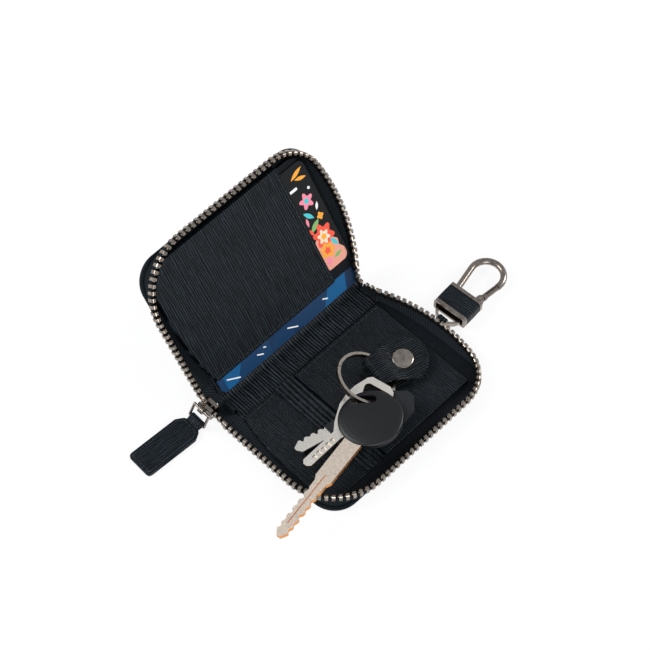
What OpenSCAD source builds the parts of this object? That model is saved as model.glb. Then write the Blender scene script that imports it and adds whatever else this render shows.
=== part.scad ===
// Zip-around leather key case, lying open with its keys, cards and hook.
// The origin is the centre of the back half's flat outer face. +X runs from the spine to the back
// half's outer edge, +Y along the spine towards the hook, and +Z up.
// Each half is modelled in its own frame: u from the spine outwards, y along it, h from the outer face.

/* [Case] */
// Width of each half, from the spine to the outer edge
case_w = 67; // [62:1:74]
// Length of the case along the spine
case_l = 102; // [96:1:112]
// Radius of the covers' outer corners
cover_r = 13; // [9:1:18]
// Radius of the covers' corners at the spine
waist_r = 6; // [3:0.5:9]
// Thickness of the outer leather
leather_t = 1.2; // [0.9:0.1:1.5]
// Thickness of the lining
lining_t = 0.5; // [0.4:0.1:0.8]
// Width of the soft spine between the two halves
spine_w = 21; // [20:0.5:24]
// Angle at which the front half stands above the table
open_angle = 53.6; // [45:1:65]

/* [Zip] */
// Height of the row of teeth's middle above the cover's outer face
row_h = 6.2; // [5.8:0.1:6.6]
// How far the row stands out past the cover's outer edge
row_over = 1.5; // [0.5:0.1:2.5]
// Radius of the row's long arch at the hook's end
arch_r = 85; // [75:1:95]
// Radius of the row's corner at the hook's end
upper_r = 20; // [16:1:24]
// Radius of the row's corner at the slider's end
lower_r = 28; // [20:1:30]
// Thickness of the woven tape
tape_t = 0.8; // [0.6:0.1:1]
// Distance between teeth along the row
tooth_pitch = 3; // [2.6:0.1:3.6]
// Width of a tooth along the row
tooth_w = 1.5; // [1.2:0.1:1.8]
// Depth of a tooth across the tape
tooth_d = 2.6; // [2.4:0.1:3]
// Height of a tooth
tooth_h = 3.4; // [3.2:0.1:3.6]
// Length of the slider along the rows
slider_l = 8; // [7:0.1:8.2]
// Height of the slider
slider_h = 7.6; // [7:0.1:7.8]

/* [Puller] */
// Width of the leather pull tab
tab_w = 14.3; // [12:0.1:17]
// Length of the pull tab
tab_l = 34; // [28:0.5:40]
// Thickness of the pull tab
tab_t = 2; // [1.6:0.1:2.6]

/* [Pockets and cards] */
// Thickness of the pocket leather
pocket_t = 0.9; // [0.7:0.1:1.1]
// Outer height of the coin pocket above the lining
coin_h = 2.1; // [1.8:0.1:2.4]
// Length of a card's short side
card_w = 53.98; // [53.9:0.02:54.1]
// Length of a card's long side
card_l = 85.6; // [85.4:0.05:85.8]
// Thickness of a card
card_t = 0.76; // [0.7:0.02:0.8]
// How far the upper card stands out of its pocket
card_a_out = 13.6; // [6:0.1:16]
// How far the lower card stands out over the spine
card_b_out = 7.6; // [4:0.1:7.8]

/* [Key strap] */
// Radius of the strap's round end
strap_r = 11.3; // [10:0.1:13]
// Width of the strap at its fold
fold_w = 16; // [12:0.5:18]
// Thickness of the strap
strap_t = 0.9; // [0.7:0.1:1.1]
// Inner height of the fold that holds the ring
fold_gap_h = 5.6; // [5.4:0.1:5.9]
// Diameter of the press stud's cap
snap_d = 10; // [9:0.1:11]

/* [Ring and keys] */
// Outer diameter of the split ring
ring_d = 28; // [27:0.1:29]
// Radial width of the ring's wire
ring_wire_w = 1.4; // [1.2:0.1:1.6]
// Thickness of the ring's two coils together
ring_wire_t = 2.2; // [1.8:0.1:2.4]
// Radius of the moulded key head
fob_r = 14.5; // [12:0.1:15]
// Thickness of the moulded key head
fob_t = 4; // [3.4:0.1:4.2]
// Length of the moulded key's blade
fob_blade_l = 53; // [44:1:56]
// Width of the moulded key's blade
fob_blade_w = 8.4; // [6:0.1:9]
// Thickness of every key blade
blade_t = 2; // [1.6:0.1:2.2]

/* [Hook] */
// Width of the hook's sleeve
sleeve_w = 18; // [15:0.5:21]
// Length of the hook's sleeve
sleeve_l = 13; // [10:0.5:16]
// Thickness of the hook's sleeve
sleeve_t = 7; // [6:0.1:8]
// Thickness of the hook's wire
hook_wire = 3.2; // [2.6:0.1:3.8]
// Outer width of the hook's loop
hook_w = 19; // [17:0.5:20]
// Outer length of the hook's loop from the sleeve
hook_l = 24; // [20:0.5:28]
// Outer diameter of the small rings between the case and the hook
link_d = 14; // [12.5:0.1:14.2]

/* [Hidden] */
$fn = 64;

// Cuts run this far past the faces that they open
cut = 1;
// Clearance between pieces that lie on each other
lay = 0.05;
// Clearance of pieces that turn or slide past each other
run = 0.15;
// Gap at each fold between the cover's stiff areas
fold_gap = 0.1;
// The rows of teeth and their tape start this far from the fold
row_gap = 0.4;
// Inset of the pockets from the cover's edge, which leaves room for the tape's foot
pocket_in = 3.2;
// Inset of the lining from the cover's edge
lining_in = 0.8;
// Inset of the tape's foot from the cover's edge
foot_in = 2;
// How far the row stands out past the cover at the hook's end and at the slider's end
row_top_over = 1.4;
row_low_over = 2;
// Place of the arch's crown along each half
crown_share = 0.534;

half_w = case_w / 2;
half_l = case_l / 2;
strip_w = spine_w / 2;
// Level of both halves' inner faces, where the spine folds
inner_h = leather_t + lining_t;
// The three folds at rest: back, middle and front
fold_x = -half_w;
mid_x = fold_x - strip_w;
front_x = mid_x - strip_w * cos(open_angle);
front_z = inner_h + strip_w * sin(open_angle);

// Frames of the two halves and of the spine's two strips
module back_place() translate([-half_w, 0, 0]) children();
module strip_place(x, z, angle)
    translate([x, 0, z]) rotate([0, angle, 0]) translate([0, 0, -inner_h]) mirror([1, 0, 0]) children();
module front_place() strip_place(front_x, front_z, open_angle) children();

// Outline of a half or of a layer on it, inset from the cover's edge
module cover_2d(inset = 0) {
    w = case_w - inset;
    hl = half_l - inset;
    r = cover_r - inset;
    translate([waist_r, -hl]) square([w - r - waist_r, 2 * hl]);
    translate([0, waist_r - hl]) square([w - r, 2 * (hl - waist_r)]);
    translate([waist_r, r - hl]) square([w - waist_r, 2 * (hl - r)]);
    for (side = [-1, 1]) {
        translate([w - r, side * (hl - r)]) circle(r);
        translate([waist_r, side * (hl - waist_r)]) circle(waist_r);
    }
}

// A layer of a half: the cover's outline inset, from u0 to u1 and from y0 to y1
module layer(h, t, inset, u0 = 0, u1 = case_w, y0 = -half_l, y1 = half_l)
    translate([0, 0, h]) linear_extrude(t) intersection() {
        cover_2d(inset);
        translate([u0, y0]) square([u1 - u0, y1 - y0]);
    }
// The same for a pocket, which also stays inside the row's lower corner by the rim
module pocket_layer(h, t, inset, rim = 0, u0 = 0, u1 = case_w, y0 = -half_l, y1 = half_l)
    translate([0, 0, h]) linear_extrude(t) intersection() {
        inside_row_2d(rim) cover_2d(inset + rim);
        translate([u0, y0]) square([u1 - u0, y1 - y0]);
    }

// The row of teeth runs along an arch, a corner, a straight side, a wider corner and a straight end
row_u = case_w + row_over;
row_low = half_l + row_low_over;
arch_c = [case_w * crown_share, half_l + row_top_over - arch_r];
upper_u = row_u - upper_r;
upper_c = [upper_u, arch_c[1] + sqrt(pow(arch_r - upper_r, 2) - pow(upper_u - arch_c[0], 2))];
lower_c = [row_u - lower_r, lower_r - row_low];
arch_from = acos((row_gap - arch_c[0]) / arch_r);
arch_to = atan2(upper_c[1] - arch_c[1], upper_c[0] - arch_c[0]);
function arc_run(r, a) = r * a * PI / 180;
row_runs = [arc_run(arch_r, arch_from - arch_to), arc_run(upper_r, arch_to), upper_c[1] - lower_c[1],
    arc_run(lower_r, 90), lower_c[0] - row_gap];
row_l = row_runs * [1, 1, 1, 1, 1];
function on_circle(c, r, a) = [c[0] + r * cos(a), c[1] + r * sin(a), a];

// Keeps a pocket's outline clear of the teeth at the row's lower corner
corner_gap = 0.5;
module inside_row_2d(inset = 0) {
    foot = [for (f = [0 : 0.125 : 1]) foot_on(4, f) + [0, tape_t / 2 + corner_gap / 2 + inset]];
    difference() {
        children();
        difference() {
            translate([lower_c[0], lower_c[1] - 2 * lower_r]) square(2 * lower_r);
            translate(lower_c) circle(lower_r - tooth_d / 2 - corner_gap - inset);
        }
        polygon(concat(foot, [[-cut, foot[8][1]], [-cut, -case_l], [foot[0][0], -case_l]]));
    }
}

// Point and outward angle on run k of the row, at a share f of the run
function row_on(k, f) =
    k == 0 ? on_circle(arch_c, arch_r, arch_from + f * (arch_to - arch_from))
    : k == 1 ? on_circle(upper_c, upper_r, arch_to * (1 - f))
    : k == 2 ? [row_u, upper_c[1] + f * (lower_c[1] - upper_c[1]), 0]
    : k == 3 ? on_circle(lower_c, lower_r, -90 * f)
    : [lower_c[0] + f * (row_gap - lower_c[0]), -row_low, -90];
function row_at(s, k = 0) = k == 4 || s <= row_runs[k] ? row_on(k, s / row_runs[k]) : row_at(s - row_runs[k], k + 1);

// The tape's foot follows the cover's edge and draws in to the waist at the spine
foot_w = case_w - foot_in;
foot_l = half_l - foot_in;
foot_r = cover_r - foot_in;
function waist(f) = waist_r * pow(f, 3);
function foot_on(k, f) =
    k == 0 ? [row_gap + f * (foot_w - foot_r - row_gap), foot_l - waist(1 - f)]
    : k == 1 ? on_circle([foot_w - foot_r, foot_l - foot_r], foot_r, 90 * (1 - f))
    : k == 2 ? [foot_w, (foot_l - foot_r) * (1 - 2 * f)]
    : k == 3 ? on_circle([foot_w - foot_r, foot_r - foot_l], foot_r, -90 * f)
    : [foot_w - foot_r + f * (row_gap - foot_w + foot_r), waist(f) - foot_l];

// The tape leans from its foot to the row and then stands upright in the teeth
tape_steps = [9, 7, 4, 8, 4];
tape_top = row_h - tooth_h / 6;
tape_rise = tape_top - inner_h;
knee_share = 0.5;
tape_at = [for (k = [0 : 4]) for (i = [0 : tape_steps[k] - (k < 4 ? 1 : 0)]) [k, i / tape_steps[k]]];
function tape_ring(p, q) = let (n = tape_t / 2 * [cos(p[2]), sin(p[2])], knee = inner_h + knee_share * tape_rise) [
    [q[0] - n[0], q[1] - n[1], inner_h], [p[0] - n[0], p[1] - n[1], knee], [p[0] - n[0], p[1] - n[1], tape_top],
    [p[0] + n[0], p[1] + n[1], tape_top], [p[0] + n[0], p[1] + n[1], knee], [q[0] + n[0], q[1] + n[1], inner_h]];
module zip_tape() {
    points = [for (a = tape_at) each tape_ring(row_on(a[0], a[1]), foot_on(a[0], a[1]))];
    last = 6 * (len(tape_at) - 1);
    sides = [for (i = [0 : len(tape_at) - 2]) for (j = [0 : 5]) let (a = 6 * i + j, b = 6 * i + (j + 1) % 6)
        each [[a, b, b + 6], [a, b + 6, a + 6]]];
    ends = [[0, 5, 4, 1], [1, 4, 3, 2], [last, last + 1, last + 4, last + 5], [last + 1, last + 2, last + 3, last + 4]];
    polyhedron(points, concat(sides, ends), convexity = 6);
}

// A tooth grips the tape's edge with two legs; its head has a nib that meets the next tooth's scoop
tooth_foot = row_h - tooth_h / 2;
notch_w = tape_t + 2 * run;
nib_r = tooth_w * 0.3;
nib_t = tooth_w * 0.25;
tooth_gap = 0.5;
teeth_n = floor((row_l - 2 * tooth_gap - tooth_w) / tooth_pitch);
teeth_step = (row_l - 2 * tooth_gap - tooth_w) / teeth_n;
module tooth(w = tooth_w) {
    head = tooth_h - tooth_d / 2;
    rotate([90, 0, 0]) difference() {
        union() {
            translate([0, 0, -w / 2]) linear_extrude(w) difference() {
                union() {
                    translate([-tooth_d / 2, 0]) square([tooth_d, head]);
                    translate([0, head]) circle(tooth_d / 2);
                }
                translate([-notch_w / 2, -cut]) square([notch_w, cut + tape_top - tooth_foot + lay]);
            }
            translate([0, head, w / 2]) cylinder(r = nib_r, h = nib_t);
        }
        translate([0, head, -w / 2 - cut]) cylinder(r = nib_r + lay, h = cut + nib_t);
    }
}
module zip_teeth() for (i = [0 : teeth_n]) {
    p = row_at(tooth_gap + tooth_w / 2 + i * teeth_step);
    translate([p[0], p[1], tooth_foot]) rotate([0, 0, p[2]]) tooth();
}

leather = [0.12, 0.14, 0.17];
panel_leather = [0.15, 0.17, 0.2];
nickel = [0.62, 0.6, 0.58];
gunmetal = [0.45, 0.43, 0.41];

module back_cover() color(leather) back_place() layer(0, leather_t, 0, fold_gap);
module back_lining() color(leather) back_place() layer(leather_t, lining_t, lining_in, fold_gap);
module back_zip_tape() color("black") back_place() zip_tape();
module back_zip_teeth() color(gunmetal) back_place() zip_teeth();
module front_cover() color(leather) front_place() layer(0, leather_t, 0, fold_gap);
module front_lining() color(leather) front_place() layer(leather_t, lining_t, lining_in, fold_gap);
module front_zip_tape() color("black") front_place() zip_tape();
module front_zip_teeth() color(gunmetal) front_place() zip_teeth();

// Pockets of the back half: the slip pocket, the pleats and the coin pocket lie side by side
pocket_u = 2.7;
pocket_end_u = case_w - 6;
slip_y = -24;
coin_y = -12.4;
coin_end_y = 41;
pleats = 5;
pleat_h = 1.5;
coin_rim = 2;
coin_top = inner_h + coin_h;
module slip_pocket() color(panel_leather) back_place()
    pocket_layer(inner_h, pocket_t, pocket_in, 0, pocket_u, pocket_end_u, -half_l, slip_y - lay);
module coin_pocket_gusset() color(panel_leather) back_place() {
    step = (coin_y - slip_y) / pleats;
    ridge = [for (i = [0 : pleats - 1]) each [[slip_y + i * step, pocket_t], [slip_y + (i + 0.7) * step, pleat_h]]];
    translate([pocket_u, 0, inner_h]) rotate([90, 0, 90]) linear_extrude(pocket_end_u - pocket_u)
        polygon(concat([[coin_y - lay, 0], [slip_y, 0]], ridge, [[coin_y - lay, pocket_t]]));
}
module coin_pocket() color(panel_leather) back_place() difference() {
    layer(inner_h, coin_h, pocket_in, pocket_u + 1, pocket_end_u, coin_y, coin_end_y);
    layer(inner_h - cut, cut + coin_h - pocket_t, pocket_in + coin_rim, pocket_u, pocket_end_u - coin_rim,
        coin_y + coin_rim, coin_end_y - coin_rim);
}

// The key strap lies on the coin pocket. Its frame has s along the strap, from the fold to the round end
snap_x = 0.6;
snap_y = 26;
strap_turn = 76.5;
fold_s = -12.9;
strap_c = 0.8;
base_top = coin_top + strap_t;
flap_h = base_top + fold_gap_h;
fold_r = (fold_gap_h + 2 * strap_t) / 2;
flap_low = 2.2;
slope_s = -7.9;
slope_l = 2.2;
module strap_place() translate([snap_x, snap_y, 0]) rotate([0, 0, strap_turn]) children();
module strap_2d() hull() {
    translate([strap_c, 0]) circle(strap_r);
    translate([fold_s, -fold_w / 2]) square([strap_t, fold_w]);
}
module key_strap_base() color(leather) strap_place() {
    translate([0, 0, coin_top]) linear_extrude(strap_t) strap_2d();
    translate([fold_s, fold_w / 2, coin_top + fold_r]) rotate([90, 0, 0]) linear_extrude(fold_w) difference() {
        circle(fold_r);
        circle(fold_r - strap_t);
        translate([0, -fold_r - cut]) square(2 * (fold_r + cut));
        translate([-strap_t / 2 - run, 0]) square(2 * (fold_r + cut));
    }
}
module key_strap_flap() color(leather) strap_place() difference() {
    intersection() {
        translate([0, 0, coin_top]) linear_extrude(flap_h) strap_2d();
        translate([0, strap_r + cut, 0]) rotate([90, 0, 0]) linear_extrude(2 * (strap_r + cut)) {
            low = base_top + flap_low;
            polygon([[fold_s, flap_h + strap_t * 0.3], [fold_s + strap_t * 0.3, flap_h], [slope_s, flap_h],
                [slope_s + slope_l, low], [strap_c + strap_r + cut, low], [strap_c + strap_r + cut, low + strap_t],
                [slope_s + slope_l + strap_t / 2, low + strap_t], [slope_s + strap_t / 2, flap_h + strap_t],
                [fold_s + strap_t * 0.3, flap_h + strap_t], [fold_s, flap_h + strap_t * 0.7]]);
        }
    }
    cylinder(r = snap_pin_r + run, h = flap_h + fold_r);
}

// A disc with an upright rim and a low dome
dome_steps = 7;
module domed(r, rim, rise) rotate_extrude() polygon(concat([[0, 0], [r, 0]],
    [for (i = [0 : dome_steps]) [r * cos(90 * i / dome_steps), rim + rise * sin(90 * i / dome_steps)]]));

// Press stud: the post on the base enters the socket under the flap
snap_pin_r = 1.2;
post_r = 1.6;
flange_t = 0.45;
snap_rim_t = 0.5;
dome_h = 0.9;
socket_r = snap_d * 0.36;
module snap_stud() color(nickel) strap_place() translate([0, 0, base_top]) {
    cylinder(r = socket_r, h = flange_t);
    cylinder(r = post_r, h = flap_low - 2 * run);
}
module snap_cap() color(nickel) strap_place() {
    translate([0, 0, base_top + flap_low + strap_t]) domed(snap_d / 2, snap_rim_t, dome_h);
    translate([0, 0, base_top + flap_low]) cylinder(r = snap_pin_r, h = strap_t);
    translate([0, 0, base_top + flange_t + run]) difference() {
        cylinder(r = socket_r, h = flap_low - flange_t - run);
        translate([0, 0, -cut]) cylinder(r = post_r + 3 * run, h = cut + flap_low - flange_t - 2 * run);
    }
}

// The split ring leans in the strap's fold, with its low side under the flap
ring_x = -2.6;
ring_y = 5.4;
ring_turn = 62;
ring_tilt = 23.4;
ring_r = (ring_d - ring_wire_w) / 2;
ring_low = base_top + lay + ring_wire_t / 2 * cos(ring_tilt) + ring_wire_w / 2 * sin(ring_tilt);
ring_z = ring_low + ring_r * sin(ring_tilt);
ring_split = 0.25;
module split_ring() color(nickel) translate([ring_x, ring_y, ring_z]) rotate([0, 0, ring_turn])
    rotate([0, ring_tilt, 0]) difference() {
        rotate_extrude() difference() {
            translate([ring_d / 2 - ring_wire_w, -ring_wire_t / 2]) square([ring_wire_w, ring_wire_t]);
            translate([ring_d / 2 - ring_split, -ring_split / 2]) square([cut, ring_split]);
        }
        rotate([0, 0, 150]) translate([0, -ring_split / 2, 0]) cube([ring_d, ring_split, ring_wire_t]);
        rotate([0, 0, 165]) translate([0, -ring_split / 2, -ring_wire_t]) cube([ring_d, ring_split, ring_wire_t]);
    }

// The keys hang on the ring's high side as a slanted stack of flat planes. Their frame is the moulded
// head's centre
key_x = 14.3;
key_y = -9.2;
key_z = 14.37;
key_pitch = 3;
key_roll = -9;
key_gap = 0.15;
module key_place() translate([key_x, key_y, key_z]) rotate([key_pitch, 0, 0]) rotate([0, key_roll, 0]) children();

// A rounded slot
module slot_2d(l, w, x, y, turn) translate([x, y]) rotate([0, 0, turn]) hull()
    for (side = [-1, 1]) translate([side * (l - w) / 2, 0]) circle(w / 2);

// The moulded head: a disc with a low dome, over a flat rim
fob_low = -fob_t * 0.35;
fob_edge = fob_t * 0.6;
fob_turn = -81;
fob_off = 0.47;
module fob_key_head() color([0.14, 0.14, 0.15]) key_place() difference() {
    translate([0, 0, fob_low]) domed(fob_r, fob_edge, fob_t - fob_edge);
    translate([0, 0, fob_low - cut]) linear_extrude(fob_t + 2 * cut) slot_2d(11.5, 4.1, -8.6, 4.8, 42);
    translate([fob_off, 0, -blade_t / 2 - lay]) rotate([0, 0, fob_turn]) translate([fob_r * 0.72, 0, 0])
        translate([0, -fob_blade_w / 2 - lay, 0]) cube([fob_r, fob_blade_w + 2 * lay, blade_t + 2 * lay]);
}

// Cuts of a blade: triangles set along one edge, each at a share of the blade's length with its depth
module bite_2d(at, depth, w) translate([at, 0]) polygon([[-w, -cut], [-w, 0], [-w * 0.25, depth], [w * 0.25, depth],
    [w, 0], [w, -cut]]);
fob_cuts = [[0.55, 0.5], [0.63, 1], [0.71, 0.6], [0.79, 1.1], [0.87, 0.6], [0.94, 0.8]];
cut_w = 2.4;
plain_share = 0.45;
blade_step = 1.3;
groove_w = 1.1;
groove_t = 0.5;
module fob_key_blade() color(nickel) key_place() translate([fob_off, 0, -blade_t / 2]) rotate([0, 0, fob_turn]) {
    start = fob_r * 0.72 + lay;
    mid = fob_r + plain_share * fob_blade_l;
    end = fob_r + 1.5 + fob_blade_l;
    half = fob_blade_w / 2;
    slim = half - blade_step;
    difference() {
        linear_extrude(blade_t) difference() {
            polygon([[start, -half], [mid - 2 * blade_step, -half], [mid, -slim], [end - slim, -slim],
                [end, -slim / 3], [end, slim / 3], [end - slim, slim], [mid, slim], [mid - 2 * blade_step, half],
                [start, half]]);
            for (c = fob_cuts, side = [0, 1]) mirror([0, side]) translate([fob_r, -slim])
                bite_2d(c[0] * fob_blade_l, c[1], cut_w * 0.6);
        }
        translate([mid - half, -groove_w / 2, blade_t - groove_t]) cube([end - mid - slim, groove_w, cut]);
    }
}

// The silver key lies under the moulded head. Its head is a flat frame with a large opening
dimple_t = blade_t * 0.8;
dimple_z = fob_low - key_gap - dimple_t;
dimple_w = 4.9;
dimple_tip = -34.8;
dimple_mid = -6.55;
module dimple_key() color(nickel) key_place() translate([0, 0, dimple_z]) difference() {
    linear_extrude(dimple_t) difference() {
        polygon([[dimple_mid - dimple_w / 2, -14.6], [-12.4, -10.5], [-17.2, -2.5], [-18.8, 4.1], [-18.8, 8.9],
            [-17.3, 15.8], [-15.8, 17.4], [-6, 18.6], [-2.7, 17.2], [2.4, 9], [2.2, 1], [-0.8, -10.5],
            [dimple_mid + dimple_w / 2, -14.6], [dimple_mid + dimple_w / 2, dimple_tip + dimple_w * 0.3],
            [dimple_mid + dimple_w / 5, dimple_tip], [dimple_mid - dimple_w / 5, dimple_tip],
            [dimple_mid - dimple_w / 2, dimple_tip + dimple_w * 0.3]]);
        hull() for (p = [[-13.6, 12.3], [-3.8, 13.6], [-7.8, 1.6]]) translate(p) circle(1.9);
    }
    for (i = [0 : 4]) translate([dimple_mid + dimple_w * 0.12, dimple_tip + 5.5 + 2.8 * i, dimple_t - groove_t])
        translate([-1.1 - 0.25 * (i % 2), -0.8, 0]) cube([2.2 + 0.5 * (i % 2), 1.6, cut]);
}

// The house key lies lowest: a dark moulded head round a pointed blade with cuts on one side
house_t = blade_t * 0.9;
house_z = dimple_z - key_gap - house_t;
house_turn = -106;
house_w = 6;
house_tip_l = 35;
module house_frame() translate([-7.2, 2.6, 0]) rotate([0, 0, house_turn]) children();
module house_key_head() color([0.16, 0.16, 0.17]) key_place() translate([0, 0, house_z]) difference() {
    linear_extrude(house_t) difference() {
        polygon([[-15.4, -14.7], [-13.4, -5], [-11.4, 4], [-9.6, 12.5], [-7.6, 17], [-2.7, 20], [0.2, 22.8], [4.5, 22.4],
            [9.7, 17.2], [10.4, 10.7], [7.8, 1.5], [1.5, -6.5], [-4.6, -10.4], [-9.7, -15.4]]);
        slot_2d(11.2, 3.6, -5.1, 11.3, 82);
    }
    translate([0, 0, house_t / 4]) linear_extrude(house_t / 2) house_frame()
        translate([house_w, -house_w / 2 - lay]) square([house_tip_l, house_w + 2 * lay]);
}
house_cuts = [[0.56, 0.9], [0.66, 1.5], [0.76, 0.8], [0.86, 1.4]];
module house_key_blade() color(nickel) key_place() translate([0, 0, house_z + house_t / 4 + lay])
    linear_extrude(house_t / 2 - 2 * lay) house_frame() difference() {
        polygon([[house_w + lay, -house_w / 2], [house_tip_l - house_w / 2, -house_w / 2], [house_tip_l, -house_w / 8],
            [house_tip_l, house_w / 8], [house_tip_l - house_w / 3, house_w / 2], [house_w + lay, house_w / 2]]);
        for (c = house_cuts) translate([0, -house_w / 2]) bite_2d(c[0] * house_tip_l, c[1], cut_w / 2);
    }

// The soft spine: two strips, hinged to each other and to the halves
strip_low = -half_l + 5;
strip_top = half_l - 6.5;
module strip(h, t, inset) translate([fold_gap, strip_low + inset, h])
    cube([strip_w - 2 * fold_gap, strip_top - strip_low - 2 * inset, t]);
module lower_place() strip_place(fold_x, inner_h, 0) children();
module upper_place() strip_place(mid_x, inner_h, open_angle) children();
module spine_lower_cover() color(leather) lower_place() strip(0, leather_t, 0);
module spine_lower_lining() color(leather) lower_place() strip(leather_t, lining_t, lining_in);
module spine_upper_cover() color(leather) upper_place() strip(0, leather_t, 0);
module spine_upper_lining() color(leather) upper_place() strip(leather_t, lining_t, lining_in);

// Ends of the zip on the lower strip: a folded tab beside the slider, and the tape's end with its stop
end_tab_w = 7;
end_tab_gap = 1.3;
end_tab_h = 4.8;
end_tab_t = 1;
module zip_end_tab() color("black") translate([fold_x - end_tab_gap - end_tab_w, strip_low + lining_in, inner_h]) {
    cube([end_tab_w, end_tab_t, end_tab_h]);
    cube([end_tab_w, 3 * end_tab_t, end_tab_t]);
}
end_tape_w = 2.4;
end_tape_y = strip_top - lining_in - 0.7;
end_tape_x = mid_x + 0.8;
stop_w = 1.6;
stop_t = 1.9;
module zip_end_tape() color("black") translate([end_tape_x, end_tape_y - tape_t / 2, inner_h])
    cube([end_tape_w, tape_t, tape_top - inner_h]);
module zip_stop() color(gunmetal) translate([end_tape_x + (end_tape_w - stop_w) / 2, end_tape_y, 0]) difference() {
    translate([0, -stop_t / 2, tape_top - tooth_h / 2]) cube([stop_w, stop_t, tooth_h]);
    translate([-cut, -tape_t / 2 - run, 0]) cube([stop_w + 2 * cut, tape_t + 2 * run, tape_top + lay]);
}

// The slider stands on the lower strip's end: two plates round the rows' gap, joined by a wedge
slider_x = mid_x;
slider_y = -row_low + 1;
slider_z = inner_h + 0.4;
plate_t = 1;
plate_gap = tooth_d + 0.5;
flange_w = 0.7;
flange_d = 0.75;
lug_x = slider_x - 0.6;
lug_w = 2.6;
lug_r = 1.7;
lug_bore_r = 0.85;
lug_z = slider_z + slider_h * 0.7;
lug_y = slider_y - plate_gap / 2 - plate_t - lug_r * 0.55;
module slider_2d() {
    shoulder = 0.3;
    neck = 0.16;
    polygon([[-slider_l / 2, slider_h * neck], [slider_l * (shoulder - 0.5), 0], [slider_l * 0.42, 0],
        [slider_l / 2, slider_h * 0.1], [slider_l / 2, slider_h * 0.9], [slider_l * 0.42, slider_h],
        [slider_l * (shoulder - 0.5), slider_h], [-slider_l / 2, slider_h * (1 - neck)]]);
}
module zip_slider() color(gunmetal) difference() {
    union() {
        translate([slider_x, slider_y, slider_z]) rotate([90, 0, 0]) {
            for (side = [-1, 1]) translate([0, 0, side * (plate_gap + plate_t) / 2 - plate_t / 2])
                linear_extrude(plate_t) slider_2d();
            for (side = [-1, 1]) mirror([0, 0, side < 0 ? 1 : 0])
                translate([0, 0, plate_gap / 2 - flange_d]) linear_extrude(flange_d + lay) intersection() {
                    slider_2d();
                    for (low = [0, slider_h - flange_w]) translate([-slider_l, low]) square([2 * slider_l, flange_w]);
                }
            translate([0, 0, -plate_gap / 2 - lay]) linear_extrude(plate_gap + 2 * lay)
                polygon([[slider_l * 0.42, slider_h / 2 - 1.3], [slider_l * 0.42, slider_h / 2 + 1.3],
                    [slider_l * 0.1, slider_h / 2 + 0.5], [slider_l * 0.1, slider_h / 2 - 0.5]]);
        }
        translate([lug_x - lug_w / 2, lug_y, lug_z]) rotate([0, 90, 0]) cylinder(r = lug_r, h = lug_w);
    }
    translate([lug_x - lug_w, lug_y, lug_z]) rotate([0, 90, 0]) cylinder(r = lug_bore_r, h = 2 * lug_w);
    translate([slider_x - slider_l, slider_y - plate_gap / 2, slider_z - cut])
        translate([0, flange_d, 0]) cube([slider_l * 0.9, plate_gap - 2 * flange_d, cut + 0]);
}

// The puller: a wire loop in the slider's lug and a leather tab that lies on the table
wire_r = 0.65;
wire_w = 10.7;
wire_z = wire_r + 1.1;
wire_drop = lug_z - wire_z;
wire_l = 6.5;
wire_lean = asin(wire_drop / wire_l);
puller_turn = -3;
neck_r = wire_z;
neck_bore_r = 0.8;
neck_w = wire_w - 4 * wire_r - 0.5;
module puller_place() translate([lug_x, lug_y, 0]) rotate([0, 0, puller_turn]) children();
module pull_wire() color(gunmetal) puller_place() translate([0, 0, lug_z]) rotate([wire_lean, 0, 0]) {
    half = wire_w / 2 - wire_r;
    for (y = [0, -wire_l]) translate([-half, y, 0]) rotate([0, 90, 0]) cylinder(r = wire_r, h = 2 * half);
    for (x = [-half, half]) {
        translate([x, 0, 0]) rotate([90, 0, 0]) cylinder(r = wire_r, h = wire_l);
        for (y = [0, -wire_l]) translate([x, y, 0]) sphere(wire_r);
    }
}
tab_y = -wire_l * cos(wire_lean);
module pull_tab() color(leather) puller_place() translate([0, tab_y, 0]) {
    shoulder = neck_r + 0.9;
    difference() {
        union() {
            translate([-neck_w / 2, 0, neck_r]) rotate([0, 90, 0]) cylinder(r = neck_r, h = neck_w);
            translate([-neck_w / 2, -shoulder - cut, 0]) cube([neck_w, shoulder + cut - neck_r / 2, tab_t]);
            linear_extrude(tab_t) hull() {
                for (side = [-1, 1]) {
                    translate([side * (tab_w / 2 - 2.2), -shoulder - 2.2]) circle(2.2);
                    translate([side * (tab_w / 2 - 1.5), -tab_l + 1.5]) circle(1.5);
                }
            }
        }
        translate([-neck_w, 0, neck_r]) rotate([0, 90, 0]) cylinder(r = neck_bore_r, h = 2 * neck_w);
    }
}

// Pockets of the front half: a backing board, the lower card, a thin divider, the upper card, the panel
backing_t = 1.45;
divider_t = 0.35;
panel_in = 2.6;
panel_rim = 1.2;
panel_u = 0.6;
mouth_y = 31.7;
card_r = 3.18;
card_b_h = inner_h + backing_t + lay;
divider_h = card_b_h + card_t + lay;
card_a_h = divider_h + divider_t + lay;
panel_h = card_a_h + card_t + lay;
card_b_low = -42.3;
// The lower card is pushed this far home as the case shuts
card_b_travel = 16.2;
card_a_travel = 3.5;
card_a_u = 6;
card_a_y = mouth_y + card_a_out - card_l;
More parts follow.
